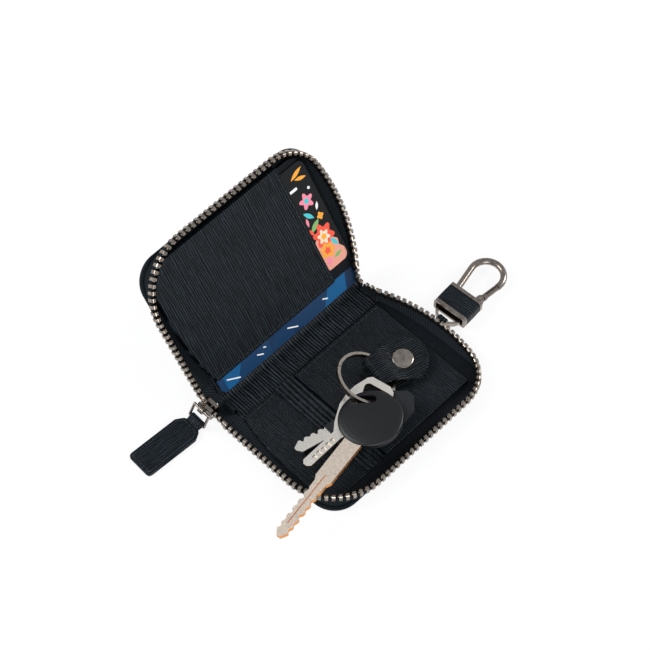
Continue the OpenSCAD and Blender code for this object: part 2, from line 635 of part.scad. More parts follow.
// A card's shape, grown by a clearance
module card(t = card_t, clear = 0) linear_extrude(t) hull()
    for (x = [card_r, card_w - card_r], y = [card_r, card_l - card_r]) translate([x, y]) circle(card_r + clear);
module card_backing() color(leather) front_place()
    pocket_layer(inner_h, backing_t, panel_in, panel_rim + lay, fold_gap + 0.4, case_w, -half_l, mouth_y);
module card_b() color([0.35, 0.55, 0.8]) front_place() translate([-card_b_out, card_b_low, card_b_h]) card();
module card_divider() color(leather) front_place()
    pocket_layer(divider_h, divider_t, panel_in, panel_rim + lay, panel_u, case_w, -half_l, half_l - 7.5);
module card_a() color([0.3, 0.3, 0.34]) front_place() translate([card_a_u, card_a_y, card_a_h]) card();
module card_pocket() color(panel_leather) front_place() difference() {
    pocket_layer(inner_h, panel_h + pocket_t - inner_h, panel_in, 0, panel_u, case_w, -half_l, mouth_y);
    pocket_layer(inner_h - cut, panel_h + cut - inner_h, panel_in, panel_rim, -cut, case_w, -half_l, case_l);
    for (at = [0, card_b_travel]) translate([at - card_b_out, card_b_low, card_b_h - lay])
        card(card_t + 2 * lay, 3 * lay);
    translate([card_a_u, card_a_y - card_a_travel, card_a_h - lay]) card(card_t + lay, 3 * lay);
}

// A short leather tab at the case's end carries the rings in its rolled loop
link_wire_w = 1.4;
link_mean_r = (link_d - link_wire_w) / 2;
link_wire_t = 0.95;
link_gap = 0.2;
roll_y = half_l + 4.4;
roll_r = 2.4;
roll_z = roll_r + 0.2;
roll_bore_r = 1.7;
roll_w = 4.4;
roll_x = -2.8;
roll_t = 1.1;
module hook_tab() color(leather) translate([roll_x, 0, roll_z]) difference() {
    union() {
        translate([-roll_w / 2, roll_y, 0]) rotate([0, 90, 0]) cylinder(r = roll_r, h = roll_w);
        translate([-roll_w / 2, half_l, -roll_r]) cube([roll_w, roll_y - half_l, roll_t]);
    }
    translate([-roll_w, roll_y, 0]) rotate([0, 90, 0]) cylinder(r = roll_bore_r, h = 2 * roll_w);
}
link_y = roll_y + link_mean_r;
module hook_rings() color(nickel) translate([roll_x, link_y, roll_z]) for (side = [0, 1]) mirror([0, 0, side])
    translate([0, 0, link_gap / 2]) difference() {
        cylinder(d = link_d, h = link_wire_t);
        translate([0, 0, -cut]) cylinder(d = link_d - 2 * link_wire_w, h = link_wire_t + 2 * cut);
    }

// The hook turns on its post inside the far side of the rings. Its frame has y from the post to the tip
post_rad = 1.2;
post_y = link_y + link_d / 2 - link_wire_w - post_rad - 0.3;
hook_turn = 4;
sleeve_back = 5.6;
lip_l = 1.7;
wrap_t = 0.6;
sleeve_wall = 0.7;
module hook_place() translate([roll_x, post_y, 0]) rotate([0, 0, hook_turn]) children();
module sleeve_2d(inset) {
    r = max(1.6 - inset, 0.4);
    w = sleeve_w / 2 - inset - r;
    h = sleeve_t / 2 - inset - r;
    translate([0, sleeve_t / 2]) hull() for (x = [-w, w], y = [-h, h]) translate([x, y]) circle(r);
}
module sleeve_run(l) rotate([90, 0, 0]) mirror([0, 0, 1]) linear_extrude(l) children();
module hook_sleeve() color(nickel) hook_place() {
    translate([0, -sleeve_back, 0]) difference() {
        union() {
            sleeve_run(lip_l) sleeve_2d(0);
            translate([0, sleeve_l - lip_l, 0]) sleeve_run(lip_l) sleeve_2d(0);
            sleeve_run(sleeve_l) sleeve_2d(wrap_t);
        }
        translate([0, -cut, 0]) sleeve_run(sleeve_l + 2 * cut) sleeve_2d(wrap_t + sleeve_wall);
    }
    translate([0, 0, wrap_t + sleeve_wall / 2]) cylinder(r = post_rad, h = sleeve_t - 2 * wrap_t - sleeve_wall);
}
module hook_leather() color(leather) hook_place() translate([0, lip_l + lay - sleeve_back, 0]) difference() {
    sleeve_run(sleeve_l - 2 * lip_l - 2 * lay) sleeve_2d(0.1);
    translate([0, -cut, 0]) sleeve_run(sleeve_l) sleeve_2d(wrap_t);
}

// The loop: a plug in the sleeve, a leg that leans outwards into the round end, and the nose.
// Two cheeks hold the gate's pin, and the gate leans as the leg does
loop_r = (hook_w - hook_wire) / 2;
wire_rad = hook_wire / 2;
sleeve_end = sleeve_l - sleeve_back;
arc_y = sleeve_end + hook_l - hook_w / 2;
foot_x = sleeve_w / 2 - 3.3;
foot_d = norm([foot_x, arc_y - sleeve_end]);
leg_lean = asin(loop_r / foot_d) - atan2(foot_x, arc_y - sleeve_end);
leg_l = sqrt(foot_d * foot_d - loop_r * loop_r);
nose_l = 0.6;
pivot_l = 2.2;
cheek_r = 1.6;
cheek_t = 0.65;
cheek_gap = 2.4;
hook_z = sleeve_t / 2;
pin_r = 0.5;
plug_l = 2.8;
module leg_place(side) translate([side * foot_x, sleeve_end, 0]) rotate([0, 0, -side * leg_lean]) children();
module gate_place(z) hook_place() leg_place(1) translate([0, pivot_l, z]) children();
module hook_loop() color(gunmetal) hook_place() translate([0, 0, hook_z]) difference() {
    union() {
        translate([0, sleeve_end - plug_l, -hook_z]) sleeve_run(plug_l) sleeve_2d(wrap_t + sleeve_wall + lay);
        leg_place(-1) translate([0, leg_l, 0]) rotate([90, 0, 0]) cylinder(r = wire_rad, h = leg_l + plug_l / 2);
        translate([0, arc_y, 0]) rotate([0, 0, -leg_lean]) rotate_extrude(angle = 180 + 2 * leg_lean)
            translate([loop_r, 0]) circle(wire_rad);
        leg_place(1) translate([0, leg_l, 0]) rotate([90, 0, 0]) cylinder(r = wire_rad, h = nose_l);
        leg_place(1) for (side = [-1, 1]) translate([0, 0, side * (cheek_gap + cheek_t) / 2 - cheek_t / 2]) {
            translate([0, pivot_l, 0]) cylinder(r = cheek_r, h = cheek_t);
            translate([-cheek_r, -plug_l / 2, 0]) cube([2 * cheek_r, pivot_l + plug_l / 2, cheek_t]);
        }
    }
    leg_place(1) translate([0, pivot_l, -hook_z]) cylinder(r = pin_r + lay / 2, h = sleeve_t);
}
module gate_pin() color(nickel) gate_place(hook_z - cheek_gap / 2 - cheek_t)
    cylinder(r = pin_r, h = cheek_gap + 2 * cheek_t);
spring_t = 0.7;
spring_r = 1.1;
tongue_t = 1.3;
module gate_spring() color(nickel) gate_place(hook_z + cheek_gap / 2 - run - spring_t) difference() {
    cylinder(r = spring_r, h = spring_t);
    translate([0, 0, -cut]) cylinder(r = pin_r + lay, h = spring_t + 2 * cut);
}
gate_r = 1.45;
gate_slit = 0.7;
module hook_gate() color(gunmetal) gate_place(hook_z) {
    gate_end = leg_l - nose_l - 0.35 - pivot_l;
    start = cheek_r + 0.25;
    difference() {
        union() {
            translate([0, start, 0]) rotate([-90, 0, 0]) cylinder(r = gate_r, h = gate_end - start);
            translate([0, 0, -cheek_gap / 2 + run]) {
                cylinder(r = gate_r, h = tongue_t);
                translate([-gate_r, 0, 0]) cube([2 * gate_r, start + gate_r, tongue_t]);
            }
        }
        translate([-gate_slit / 2, start + gate_r, gate_r / 4]) cube([gate_slit, gate_end, gate_r]);
        translate([0, 0, -hook_z]) cylinder(r = pin_r + lay, h = sleeve_t);
    }
}

back_cover();
back_lining();
back_zip_tape();
back_zip_teeth();
slip_pocket();
coin_pocket_gusset();
coin_pocket();
key_strap_base();
snap_stud();
key_strap_flap();
snap_cap();
split_ring();
fob_key_head();
fob_key_blade();
dimple_key();
house_key_head();
house_key_blade();
spine_lower_cover();
spine_lower_lining();
zip_end_tab();
zip_end_tape();
zip_stop();
zip_slider();
pull_wire();
pull_tab();
spine_upper_cover();
spine_upper_lining();
front_cover();
front_lining();
front_zip_tape();
front_zip_teeth();
card_backing();
card_b();
card_divider();
card_a();
card_pocket();
hook_tab();
hook_rings();
hook_sleeve();
hook_leather();
hook_loop();
gate_pin();
gate_spring();
hook_gate();
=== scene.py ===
"""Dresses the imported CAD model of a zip-around leather key case, lying open with its keys and cards."""
import math

import bmesh
import bpy
from mathutils import Matrix, Vector


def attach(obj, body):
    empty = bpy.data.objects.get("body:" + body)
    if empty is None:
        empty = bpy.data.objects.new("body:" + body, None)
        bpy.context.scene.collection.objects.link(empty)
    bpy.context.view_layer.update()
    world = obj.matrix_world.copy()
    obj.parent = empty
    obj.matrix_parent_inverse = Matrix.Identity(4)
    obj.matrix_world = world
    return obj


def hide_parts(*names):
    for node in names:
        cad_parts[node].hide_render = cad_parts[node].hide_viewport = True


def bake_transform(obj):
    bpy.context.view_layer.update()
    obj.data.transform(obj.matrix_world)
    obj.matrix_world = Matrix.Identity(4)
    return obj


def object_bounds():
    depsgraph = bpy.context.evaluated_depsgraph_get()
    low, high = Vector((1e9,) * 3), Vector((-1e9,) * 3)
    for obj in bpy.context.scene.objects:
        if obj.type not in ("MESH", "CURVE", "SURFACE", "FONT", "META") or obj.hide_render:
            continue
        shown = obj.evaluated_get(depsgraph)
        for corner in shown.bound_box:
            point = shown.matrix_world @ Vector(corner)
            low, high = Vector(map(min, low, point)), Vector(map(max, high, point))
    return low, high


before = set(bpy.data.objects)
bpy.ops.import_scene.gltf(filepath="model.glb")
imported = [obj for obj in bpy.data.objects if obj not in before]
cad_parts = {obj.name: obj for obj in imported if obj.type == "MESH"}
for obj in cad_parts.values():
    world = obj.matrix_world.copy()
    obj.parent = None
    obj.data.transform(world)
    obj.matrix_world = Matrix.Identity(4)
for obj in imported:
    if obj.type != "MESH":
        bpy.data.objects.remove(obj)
cad_box = [list(corner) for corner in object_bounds()]

# Sizes in mm, as in the part's source: each half, the spine's two strips and how far the case stands open
MM = 0.001
CASE_W, HALF_L, COVER_R, WAIST_R = 67.0, 51.0, 13.0, 6.0
LEATHER, INNER = 1.2, 1.7
STRIP_W, STRIP_LOW, STRIP_TOP = 10.5, -46.0, 44.5
FOLD_X, MID_X = -33.5, -44.0
OPEN = math.radians(53.6)
FRONT_X, FRONT_Z = MID_X - STRIP_W * math.cos(OPEN), INNER + STRIP_W * math.sin(OPEN)
# The row of teeth runs round an arch, a corner, a straight, a wider corner and a straight
ROW_U, ROW_LOW, ROW_GAP, ROW_Z = 68.5, 53.0, 0.4, 6.2
ARCH_R, UPPER_R, LOWER_R = 85.0, 20.0, 28.0
ARCH_C = (35.778, HALF_L + 1.4 - ARCH_R)
UPPER_C = (ROW_U - UPPER_R,
           ARCH_C[1] + math.sqrt((ARCH_R - UPPER_R) ** 2 - (ROW_U - UPPER_R - ARCH_C[0]) ** 2))
LOWER_C = (ROW_U - LOWER_R, LOWER_R - ROW_LOW)
ARCH_FROM = math.acos((ROW_GAP - ARCH_C[0]) / ARCH_R)
ARCH_TO = math.atan2(UPPER_C[1] - ARCH_C[1], UPPER_C[0] - ARCH_C[0])
# The line where the tape is sewn down, the tape, and the straps
FOOT_W, FOOT_L, FOOT_R = CASE_W - 2, HALF_L - 2, COVER_R - 2
TAPE_T, TAPE_TOP = 0.8, 5.633
STRAP_T = 0.9


# Places: each turns a point of a sub-part's own frame into the part's frame
def back(u, y, h):
    return Vector((u + FOLD_X, y, h))


def lifted(x, z):
    def place(u, y, h):
        rise = h - INNER
        return Vector((x - u * math.cos(OPEN) + rise * math.sin(OPEN), y,
                       z + u * math.sin(OPEN) + rise * math.cos(OPEN)))
    return place


def turned(x, y, degrees):
    spin = Matrix.Rotation(math.radians(degrees), 3, "Z")
    return lambda a, b, c: spin @ Vector((a, b, c)) + Vector((x, y, 0))


upper_strip = lifted(MID_X, INNER)
front = lifted(FRONT_X, FRONT_Z)
HALVES = (("back", back), ("front", front))
strap = turned(0.6, 26, 76.5)
puller = turned(-44.6, -55.485, -3)
hook = turned(-2.8, 65.8, 4)


# Finishes
def linear(code):
    """A hex sRGB colour as linear red, green, blue and alpha."""
    parts = [int(code[i:i + 2], 16) / 255 for i in (1, 3, 5)]
    return tuple(p / 12.92 if p <= 0.04045 else ((p + 0.055) / 1.055) ** 2.4 for p in parts) + (1.0,)


def add(tree, kind, inputs=None, **settings):
    """Adds a node. Inputs are values, or the outputs that feed them; settings are the node's own."""
    made = tree.nodes.new("ShaderNode" + kind)
    for name, value in settings.items():
        setattr(made, name, value)
    for name, value in (inputs or {}).items():
        if isinstance(value, bpy.types.NodeSocket):
            tree.links.new(value, made.inputs[name])
        else:
            made.inputs[name].default_value = value
    return made


def finish_named(name, **sockets):
    """A material with its shader, whose sockets take the values given."""
    made = bpy.data.materials.new(name)
    made.use_nodes = True
    shader = made.node_tree.nodes["Principled BSDF"]
    for socket, value in sockets.items():
        shader.inputs[socket.replace("_", " ")].default_value = value
    return made, made.node_tree, shader


def feed(tree, shader, **patterns):
    """Links each pattern to the shader's socket of that name."""
    for socket, pattern in patterns.items():
        tree.links.new(pattern, shader.inputs[socket.replace("_", " ")])


def embossed_leather(name, groove_shade, ridge_highlight, pitch, run, depth, roughness):
    """Cowhide pressed with fine ribs that waver and merge: dull streaks, a painted highlight on the ridges
    and painted shade in the grooves.
    The ribs' pitch and depth, and the run that a rib keeps its line for, are in mm."""
    stray, rib_weight = 1.7, 0.24
    made, tree, shader = finish_named(name, Roughness=roughness, Specular_IOR_Level=HIDE_SHEEN)
    place = add(tree, "TexCoord").outputs["UV"]
    slow = add(tree, "Mapping", {"Vector": place, "Scale": (1 / (run * MM), 0.28 / (pitch * MM), 1)})
    waver = add(tree, "TexNoise", {"Vector": slow.outputs[0], "Scale": 1.0, "Detail": 1.5})
    across = add(tree, "SeparateXYZ", {0: place})
    count = add(tree, "Math", {0: across.outputs[1], 1: 1 / (pitch * MM)}, operation="MULTIPLY")
    phase = add(tree, "Math", {0: waver.outputs["Fac"], 1: stray, 2: count.outputs[0]},
                operation="MULTIPLY_ADD")
    turns = add(tree, "Math", {0: phase.outputs[0], 1: math.tau}, operation="MULTIPLY")
    wave = add(tree, "Math", {0: turns.outputs[0]}, operation="SINE")
    thin = add(tree, "Mapping", {"Vector": place, "Scale": (2.2 / (run * MM), 1.7 / (pitch * MM), 1)})
    hair = add(tree, "TexNoise", {"Vector": thin.outputs[0], "Scale": 1.0, "Detail": 2.0, "Roughness": 0.6})
    height = add(tree, "Math", {0: wave.outputs[0], 1: rib_weight, 2: hair.outputs["Fac"]},
                 operation="MULTIPLY_ADD")
    # Paler on the ridges and darker in the grooves: painted highlight and painted shade
    share = add(tree, "MapRange", {"Value": height.outputs[0], "From Min": 0.46, "From Max": 0.76})
    shade = add(tree, "Mix", {0: share.outputs[0], 6: linear(groove_shade), 7: linear(ridge_highlight)}, data_type="RGBA")
    bump = add(tree, "Bump", {"Height": height.outputs[0], "Strength": 1.0, "Distance": depth * MM})
    feed(tree, shader, Base_Color=shade.outputs[2], Normal=bump.outputs[0])
    return made


def pebbled_leather(name, valley_shade, top, grain, depth, roughness):
    """Drum-dyed cowhide with a fine pebble grain: a painted highlight on each pebble's top, painted shade
    between them.
    """
    made, tree, shader = finish_named(name, Roughness=roughness, Specular_IOR_Level=HIDE_SHEEN)
    place = add(tree, "TexCoord").outputs["Object"]
    cells = add(tree, "TexVoronoi", {"Vector": place, "Scale": 1 / (grain * MM)}, feature="SMOOTH_F1")
    crease = add(tree, "TexNoise", {"Vector": place, "Scale": 0.25 / (grain * MM), "Detail": 3.0})
    height = add(tree, "Math", {0: cells.outputs["Distance"], 1: -0.7, 2: crease.outputs["Fac"]},
                 operation="MULTIPLY_ADD")
    # Paler on the pebbles' tops and darker between them: painted highlight and painted shade
    share = add(tree, "MapRange", {"Value": height.outputs[0], "From Min": -0.2, "From Max": 0.5})
    shade = add(tree, "Mix", {0: share.outputs[0], 6: linear(valley_shade), 7: linear(top)}, data_type="RGBA")
    bump = add(tree, "Bump", {"Height": height.outputs[0], "Strength": 0.8, "Distance": depth * MM})
    feed(tree, shader, Base_Color=shade.outputs[2], Normal=bump.outputs[0])
    return made


def twill_tape(name, warp, weft, thread):
    """Woven polyester zip tape: a matt herringbone of diagonal threads, turning every third thread."""
    made, tree, shader = finish_named(name, Roughness=0.8, Specular_IOR_Level=0.15)
    place = add(tree, "SeparateXYZ", {0: add(tree, "TexCoord").outputs["UV"]})
    fold = add(tree, "Math", {0: place.outputs[1], 1: 3 * thread * MM}, operation="PINGPONG")
    slant = add(tree, "Math", {0: place.outputs[0], 1: fold.outputs[0]}, operation="ADD")
    turns = add(tree, "Math", {0: slant.outputs[0], 1: math.tau / (thread * MM)}, operation="MULTIPLY")
    wave = add(tree, "Math", {0: turns.outputs[0]}, operation="SINE")
    share = add(tree, "MapRange", {"Value": wave.outputs[0], "From Min": -1.0, "From Max": 1.0})
    shade = add(tree, "Mix", {0: share.outputs[0], 6: linear(warp), 7: linear(weft)}, data_type="RGBA")
    bump = add(tree, "Bump", {"Height": share.outputs[0], "Strength": 0.8, "Distance": 0.15 * MM})
    feed(tree, shader, Base_Color=shade.outputs[2], Normal=bump.outputs[0])
    return made


def plated_metal(name, dull, bright, roughness, grain, scuff):
    """Plated metal: a clear reflection, broken by fine handling marks that also change its gloss."""
    made, tree, shader = finish_named(name, Metallic=1.0)
    place = add(tree, "TexCoord").outputs["Object"]
    marks = add(tree, "TexNoise", {"Vector": place, "Scale": 1 / (grain * MM), "Detail": 4.0,
                                   "Roughness": 0.65})
    share = add(tree, "MapRange", {"Value": marks.outputs["Fac"], "From Min": 0.3, "From Max": 0.7})
    shade = add(tree, "Mix", {0: share.outputs[0], 6: linear(dull), 7: linear(bright)}, data_type="RGBA")
    gloss = add(tree, "MapRange", {"Value": marks.outputs["Fac"], "From Min": 0.3, "From Max": 0.7,
                                   "To Min": roughness * 1.35, "To Max": roughness * 0.7})
    bump = add(tree, "Bump", {"Height": marks.outputs["Fac"], "Strength": 0.4, "Distance": scuff * MM})
    feed(tree, shader, Base_Color=shade.outputs[2], Roughness=gloss.outputs[0], Normal=bump.outputs[0])
    return made


def cut_key_metal(name, face, edge, roughness):
    """A stamped and cut key: the flat faces keep their plating. The cut edges show the metal beneath, except
    on the milled key, where their colour is a painted shade in the dimples.
    """
    made, tree, shader = finish_named(name, Metallic=1.0)
    coords = add(tree, "TexCoord")
    tilt = add(tree, "SeparateXYZ", {0: coords.outputs["Normal"]})
    flat = add(tree, "Math", {0: tilt.outputs[2]}, operation="ABSOLUTE")
    marks = add(tree, "TexNoise", {"Vector": coords.outputs["Object"], "Scale": 0.9 / MM, "Detail": 4.0})
    # Sloped faces take the edge colour: the metal beneath, and on the milled key a painted shade in the
    # dimples
    wear_and_pit_shade = add(tree, "Math", {0: marks.outputs["Fac"], 1: -0.12, 2: flat.outputs[0]},
               operation="MULTIPLY_ADD")
    share = add(tree, "MapRange", {"Value": wear_and_pit_shade.outputs[0], "From Min": 0.78, "From Max": 0.9})
    shade = add(tree, "Mix", {0: share.outputs[0], 6: linear(edge), 7: linear(face)}, data_type="RGBA")
    gloss = add(tree, "MapRange", {"Value": marks.outputs["Fac"], "From Min": 0.3, "From Max": 0.7,
                                   "To Min": roughness * 1.2, "To Max": roughness * 0.8})
    bump = add(tree, "Bump", {"Height": marks.outputs["Fac"], "Strength": 0.35, "Distance": 0.04 * MM})
    feed(tree, shader, Base_Color=shade.outputs[2], Roughness=gloss.outputs[0], Normal=bump.outputs[0])
    return made


def moulded_plastic(name, low, high, roughness, grain):
    """Moulded plastic: an even satin skin with the faint texture of its tool."""
    made, tree, shader = finish_named(name, Roughness=roughness, Specular_IOR_Level=0.4)
    place = add(tree, "TexCoord").outputs["Object"]
    skin = add(tree, "TexNoise", {"Vector": place, "Scale": 1 / (grain * MM), "Detail": 3.0})
    smear = add(tree, "TexNoise", {"Vector": place, "Scale": 0.12 / MM, "Detail": 2.0})
    shade = add(tree, "Mix", {0: smear.outputs["Fac"], 6: linear(low), 7: linear(high)}, data_type="RGBA")
    bump = add(tree, "Bump", {"Height": skin.outputs["Fac"], "Strength": 0.35, "Distance": 0.05 * MM})
    feed(tree, shader, Base_Color=shade.outputs[2], Normal=bump.outputs[0])
    return made


def printed_card(name, low, high, facet):
    """Laminated PVC card: flat printed facets of near colours under a clear glossy film."""
    made, tree, shader = finish_named(name, Roughness=0.3, Specular_IOR_Level=0.3, Coat_Weight=0.12,
                                      Coat_Roughness=0.15)
    place = add(tree, "TexCoord").outputs["Object"]
    cells = add(tree, "TexVoronoi", {"Vector": place, "Scale": 1 / (facet * MM)})
    tone = add(tree, "SeparateColor", {0: cells.outputs["Color"]})
    shade = add(tree, "Mix", {0: tone.outputs[0], 6: linear(low), 7: linear(high)}, data_type="RGBA")
    feed(tree, shader, Base_Color=shade.outputs[2])
    return made


def ink(name, colour):
    """Printing ink under the card's film: flat colour with a slight grain of the print, 0.4 mm across."""
    made, tree, shader = finish_named(name, Roughness=0.35, Specular_IOR_Level=0.3)
    grain = add(tree, "TexNoise", {"Vector": add(tree, "TexCoord").outputs["Object"], "Scale": 2.5 / MM})
    full = linear(colour)
    thin = tuple(c * 0.85 for c in full[:3]) + (1.0,)
    shade = add(tree, "Mix", {0: grain.outputs["Fac"], 6: thin, 7: full}, data_type="RGBA")
    feed(tree, shader, Base_Color=shade.outputs[2])
    return made


# A waxed black hide mirrors little, so that its ribs show by their painted shade and highlight
HIDE_SHEEN = 0.13
# The pressed ribs are about a millimetre apart and run for 14 to 24 mm before they fade
ribbed_hide = embossed_leather("cowhide_embossed_ribbed", "#030507", "#252f37",
                               pitch=1.15, run=24, depth=0.75, roughness=0.42)
# Deeper over the spine, where the hide creases as the case opens and shuts, with a greyer painted highlight
# on the ridges
creased_hide = embossed_leather("cowhide_embossed_creased", "#030507", "#353d44",
                                pitch=1.45, run=22, depth=0.9, roughness=0.4)
# Shorter ribs with more gloss on the key strap, which is bent and rubbed by the keys, and a paler painted
# highlight on the ridges
flexed_hide = embossed_leather("cowhide_embossed_flexed", "#040607", "#2b3238",
                               pitch=1.05, run=14, depth=0.7, roughness=0.38)
# Pressed flatter on the inner pockets, with a dimmer painted highlight on the ridges, so they look even and
# dark
shallow_hide = embossed_leather("cowhide_embossed_shallow", "#05080a", "#1e262d",
                                pitch=0.95, run=18, depth=0.4, roughness=0.42)
# Close ribs on the small pieces
fine_hide = embossed_leather("cowhide_embossed_fine", "#030507", "#263038",
                             pitch=0.9, run=18, depth=0.6, roughness=0.42)
# The covers' outer side shows a small round grain, the pleats almost none, and the lining is dull
pebbled_hide = pebbled_leather("cowhide_drum_dyed_pebbled", "#05080a", "#1b2329",
                               grain=0.8, depth=0.25, roughness=0.45)
pleated_hide = pebbled_leather("cowhide_smooth_pleated", "#040607", "#262c31",
                               grain=0.9, depth=0.08, roughness=0.36)
lining_hide = pebbled_leather("split_hide_lining", "#04070a", "#0e141a", grain=0.6, depth=0.1, roughness=0.6)
# The tape's real threads, about 0.3 mm, are too fine to show, so they're drawn three times as wide
tape_cloth = twill_tape("polyester_twill_tape", "#030507", "#20282e", thread=0.95)
# Waxed thread has a soft shine, a shade paler than the hide
thread_wax = moulded_plastic("waxed_polyester_thread", "#101419", "#252c33", roughness=0.45, grain=0.2)
# Warm grey plating. Real handling marks are hair-fine, so they're drawn 1 to 2 mm wide to show
gunmetal = plated_metal("zinc_gunmetal_plated", "#6e665f", "#a2988f", roughness=0.21, grain=1.5, scuff=0.03)
teeth_metal = plated_metal("brass_gunmetal_plated_teeth", "#6a625b", "#b3a89c",
                           roughness=0.26, grain=1.0, scuff=0.03)
nickel = plated_metal("steel_nickel_plated", "#8d837b", "#cbc0b5", roughness=0.2, grain=1.2, scuff=0.02)
cap_metal = plated_metal("brass_nickel_plated_spun", "#7a726b", "#b3a99f",
                         roughness=0.2, grain=2.0, scuff=0.02)
# Pale faces. The edges are as pale on the stamped key and bare brass on the long blade. The milled key's tan
# edges are a painted shade in its dimples
stamped_key = cut_key_metal("nickel_silver_stamped", "#efe9df", "#f2ebe0", roughness=0.34)
milled_key_shaded_pits = cut_key_metal("nickel_silver_milled_shaded_pits", "#efe9df", "#a4896e", roughness=0.36)
brass_key = cut_key_metal("brass_nickel_plated_cut", "#e6d6c6", "#e0a063", roughness=0.42)
# The fob key's head is satin and nearly black, the house key's a little greyer
fob_plastic = moulded_plastic("abs_moulded_satin_black", "#040608", "#0a0d12", roughness=0.42, grain=0.5)
head_plastic = moulded_plastic("nylon_moulded_dark", "#0a0c10", "#171c22", roughness=0.45, grain=0.4)
# The cards' facets, 22 and 30 mm wide, differ only faintly
blue_card = printed_card("pvc_card_printed_blue", "#0a2643", "#10385d", facet=22)
dark_card = printed_card("pvc_card_printed_charcoal", "#07080a", "#0b0d0f", facet=30)


# Outlines in mm: lists of (u, y), counter-clockwise
def tidy(outline):
    """Leaves out points that lie on their neighbour."""
    return [p for i, p in enumerate(outline) if math.dist(p, outline[i - 1]) > 0.01]


def clipped(outline, window):
    """What lies inside a convex counter-clockwise window."""
    for (ax, ay), (bx, by) in zip(window, window[1:] + window[:1]):
        side = [(bx - ax) * (q - ay) - (by - ay) * (p - ax) for p, q in outline]
        kept = []
        for i, (p, q) in enumerate(outline):
            j = (i + 1) % len(outline)
            if side[i] >= 0:
                kept.append((p, q))
            if (side[i] >= 0) != (side[j] >= 0):
                f = side[i] / (side[i] - side[j])
                kept.append((p + f * (outline[j][0] - p), q + f * (outline[j][1] - q)))
        outline = kept
    return tidy(outline)


def cover_outline(inset, u0=0.1, u1=CASE_W, y0=-HALF_L, y1=HALF_L):
    """The cover's edge, inset, with round outer corners and a waist at the spine, cut to a rectangle."""
    w, half, r = CASE_W - inset, HALF_L - inset, COVER_R - inset
    edge = [(WAIST_R - WAIST_R * math.cos(a), half - WAIST_R + WAIST_R * math.sin(a))
            for a in (math.radians(11.25 * i) for i in range(9))]
    edge += [(w - r + r * math.sin(a), half - r + r * math.cos(a))
             for a in (math.radians(6 * i) for i in range(16))]
    whole = [(u, -y) for u, y in edge] + edge[::-1]
    return clipped(whole, [(u0, y0), (u1, y0), (u1, y1), (u0, y1)])


def around(centre, r, a):
    return (centre[0] + r * math.cos(a), centre[1] + r * math.sin(a), a)


def row_point(k, f):
    """Point and outward angle on run k of the row of teeth, at a share f of the run."""
    if k == 0:
        return around(ARCH_C, ARCH_R, ARCH_FROM + f * (ARCH_TO - ARCH_FROM))
    if k == 1:
        return around(UPPER_C, UPPER_R, ARCH_TO * (1 - f))
    if k == 2:
        return (ROW_U, UPPER_C[1] + f * (LOWER_C[1] - UPPER_C[1]), 0.0)
    if k == 3:
        return around(LOWER_C, LOWER_R, -math.pi / 2 * f)
    return (LOWER_C[0] + f * (ROW_GAP - LOWER_C[0]), -ROW_LOW, -math.pi / 2)


def foot_point(k, f):
    """The matching point where the tape is sewn to the cover."""
    inner = FOOT_W - FOOT_R
    if k == 0:
        return (ROW_GAP + f * (inner - ROW_GAP), FOOT_L - WAIST_R * (1 - f) ** 3)
    if k == 1:
        return around((inner, FOOT_L - FOOT_R), FOOT_R, math.pi / 2 * (1 - f))[:2]
    if k == 2:
        return (FOOT_W, (FOOT_L - FOOT_R) * (1 - 2 * f))
    if k == 3:
        return around((inner, FOOT_R - FOOT_L), FOOT_R, -math.pi / 2 * f)[:2]
    return (inner + f * (ROW_GAP - inner), WAIST_R * f ** 3 - FOOT_L)


def pocket_outline(inset, rim=0.0, **cut):
    """A pocket's edge, kept clear of the row's lower corner and of the tape's foot at the spine."""
    tooth_reach, corner_room, foot_room, near, far = 1.3, 0.5, 0.25, -9, 99
    r = LOWER_R - tooth_reach - corner_room - rim
    u, y = LOWER_C
    corner = [(u + r * math.sin(a), y - r * math.cos(a)) for a in (math.radians(6 * i) for i in range(16))]
    window = [(near, y - r)] + corner + [(u + r, far), (near, far)]
    shape = clipped(cover_outline(inset + rim, **cut), window)
    foot = [(p, q + TAPE_T / 2 + foot_room + rim)
            for p, q in (foot_point(4, i / 12) for i in range(12, -1, -1))]
    return clipped(shape, foot + [(far, foot[-1][1]), (far, far), (foot[0][0], far)])


def inset_of(outline, d):
    """The outline moved inwards by d."""
    out = []
    for i, (p, q) in enumerate(outline):
        (a, b), (c, e) = outline[i - 1], outline[(i + 1) % len(outline)]
        l1, l2 = math.dist((a, b), (p, q)), math.dist((p, q), (c, e))
        n1 = (-(q - b) / l1, (p - a) / l1)
        n2 = (-(e - q) / l2, (c - p) / l2)
        k = d / max(0.35, 1 + n1[0] * n2[0] + n1[1] * n2[1])
        out.append((p + k * (n1[0] + n2[0]), q + k * (n1[1] + n2[1])))
    return out


def rounded(outline, r, steps=4):
    """The outline with each sharp corner rounded."""
    out = []
    for i, p in enumerate(outline):
        a, b = Vector(outline[i - 1]) - Vector(p), Vector(outline[(i + 1) % len(outline)]) - Vector(p)
        turn = math.pi - a.angle(b)
        if turn < 0.5:
            out.append(p)
            continue
        reach = min(r * math.tan(turn / 2), a.length * 0.45, b.length * 0.45)
        a, b = a.normalized() * reach, b.normalized() * reach
        for k in range(steps + 1):
            f = k / steps
            out.append(tuple(Vector(p) + a * (1 - f) ** 2 + b * f ** 2))
    return out


def dense(outline, step):
    """The outline with its long sides divided."""
    out = []
    for i, p in enumerate(outline):
        q = outline[(i + 1) % len(outline)]
        n = max(1, round(math.dist(p, q) / step))
        out += [(p[0] + (q[0] - p[0]) * k / n, p[1] + (q[1] - p[1]) * k / n) for k in range(n)]
    return out


def rim_of(path, width):
    """A narrow wall along an open path of (u, y) points, on its left side."""
    inner = []
    for i, (p, q) in enumerate(path):
        a, b = path[max(0, i - 1)], path[min(len(path) - 1, i + 1)]
        span = math.dist(a, b)
        inner.append((p - (b[1] - a[1]) / span * width, q + (b[0] - a[0]) / span * width))
    return path + inner[::-1]


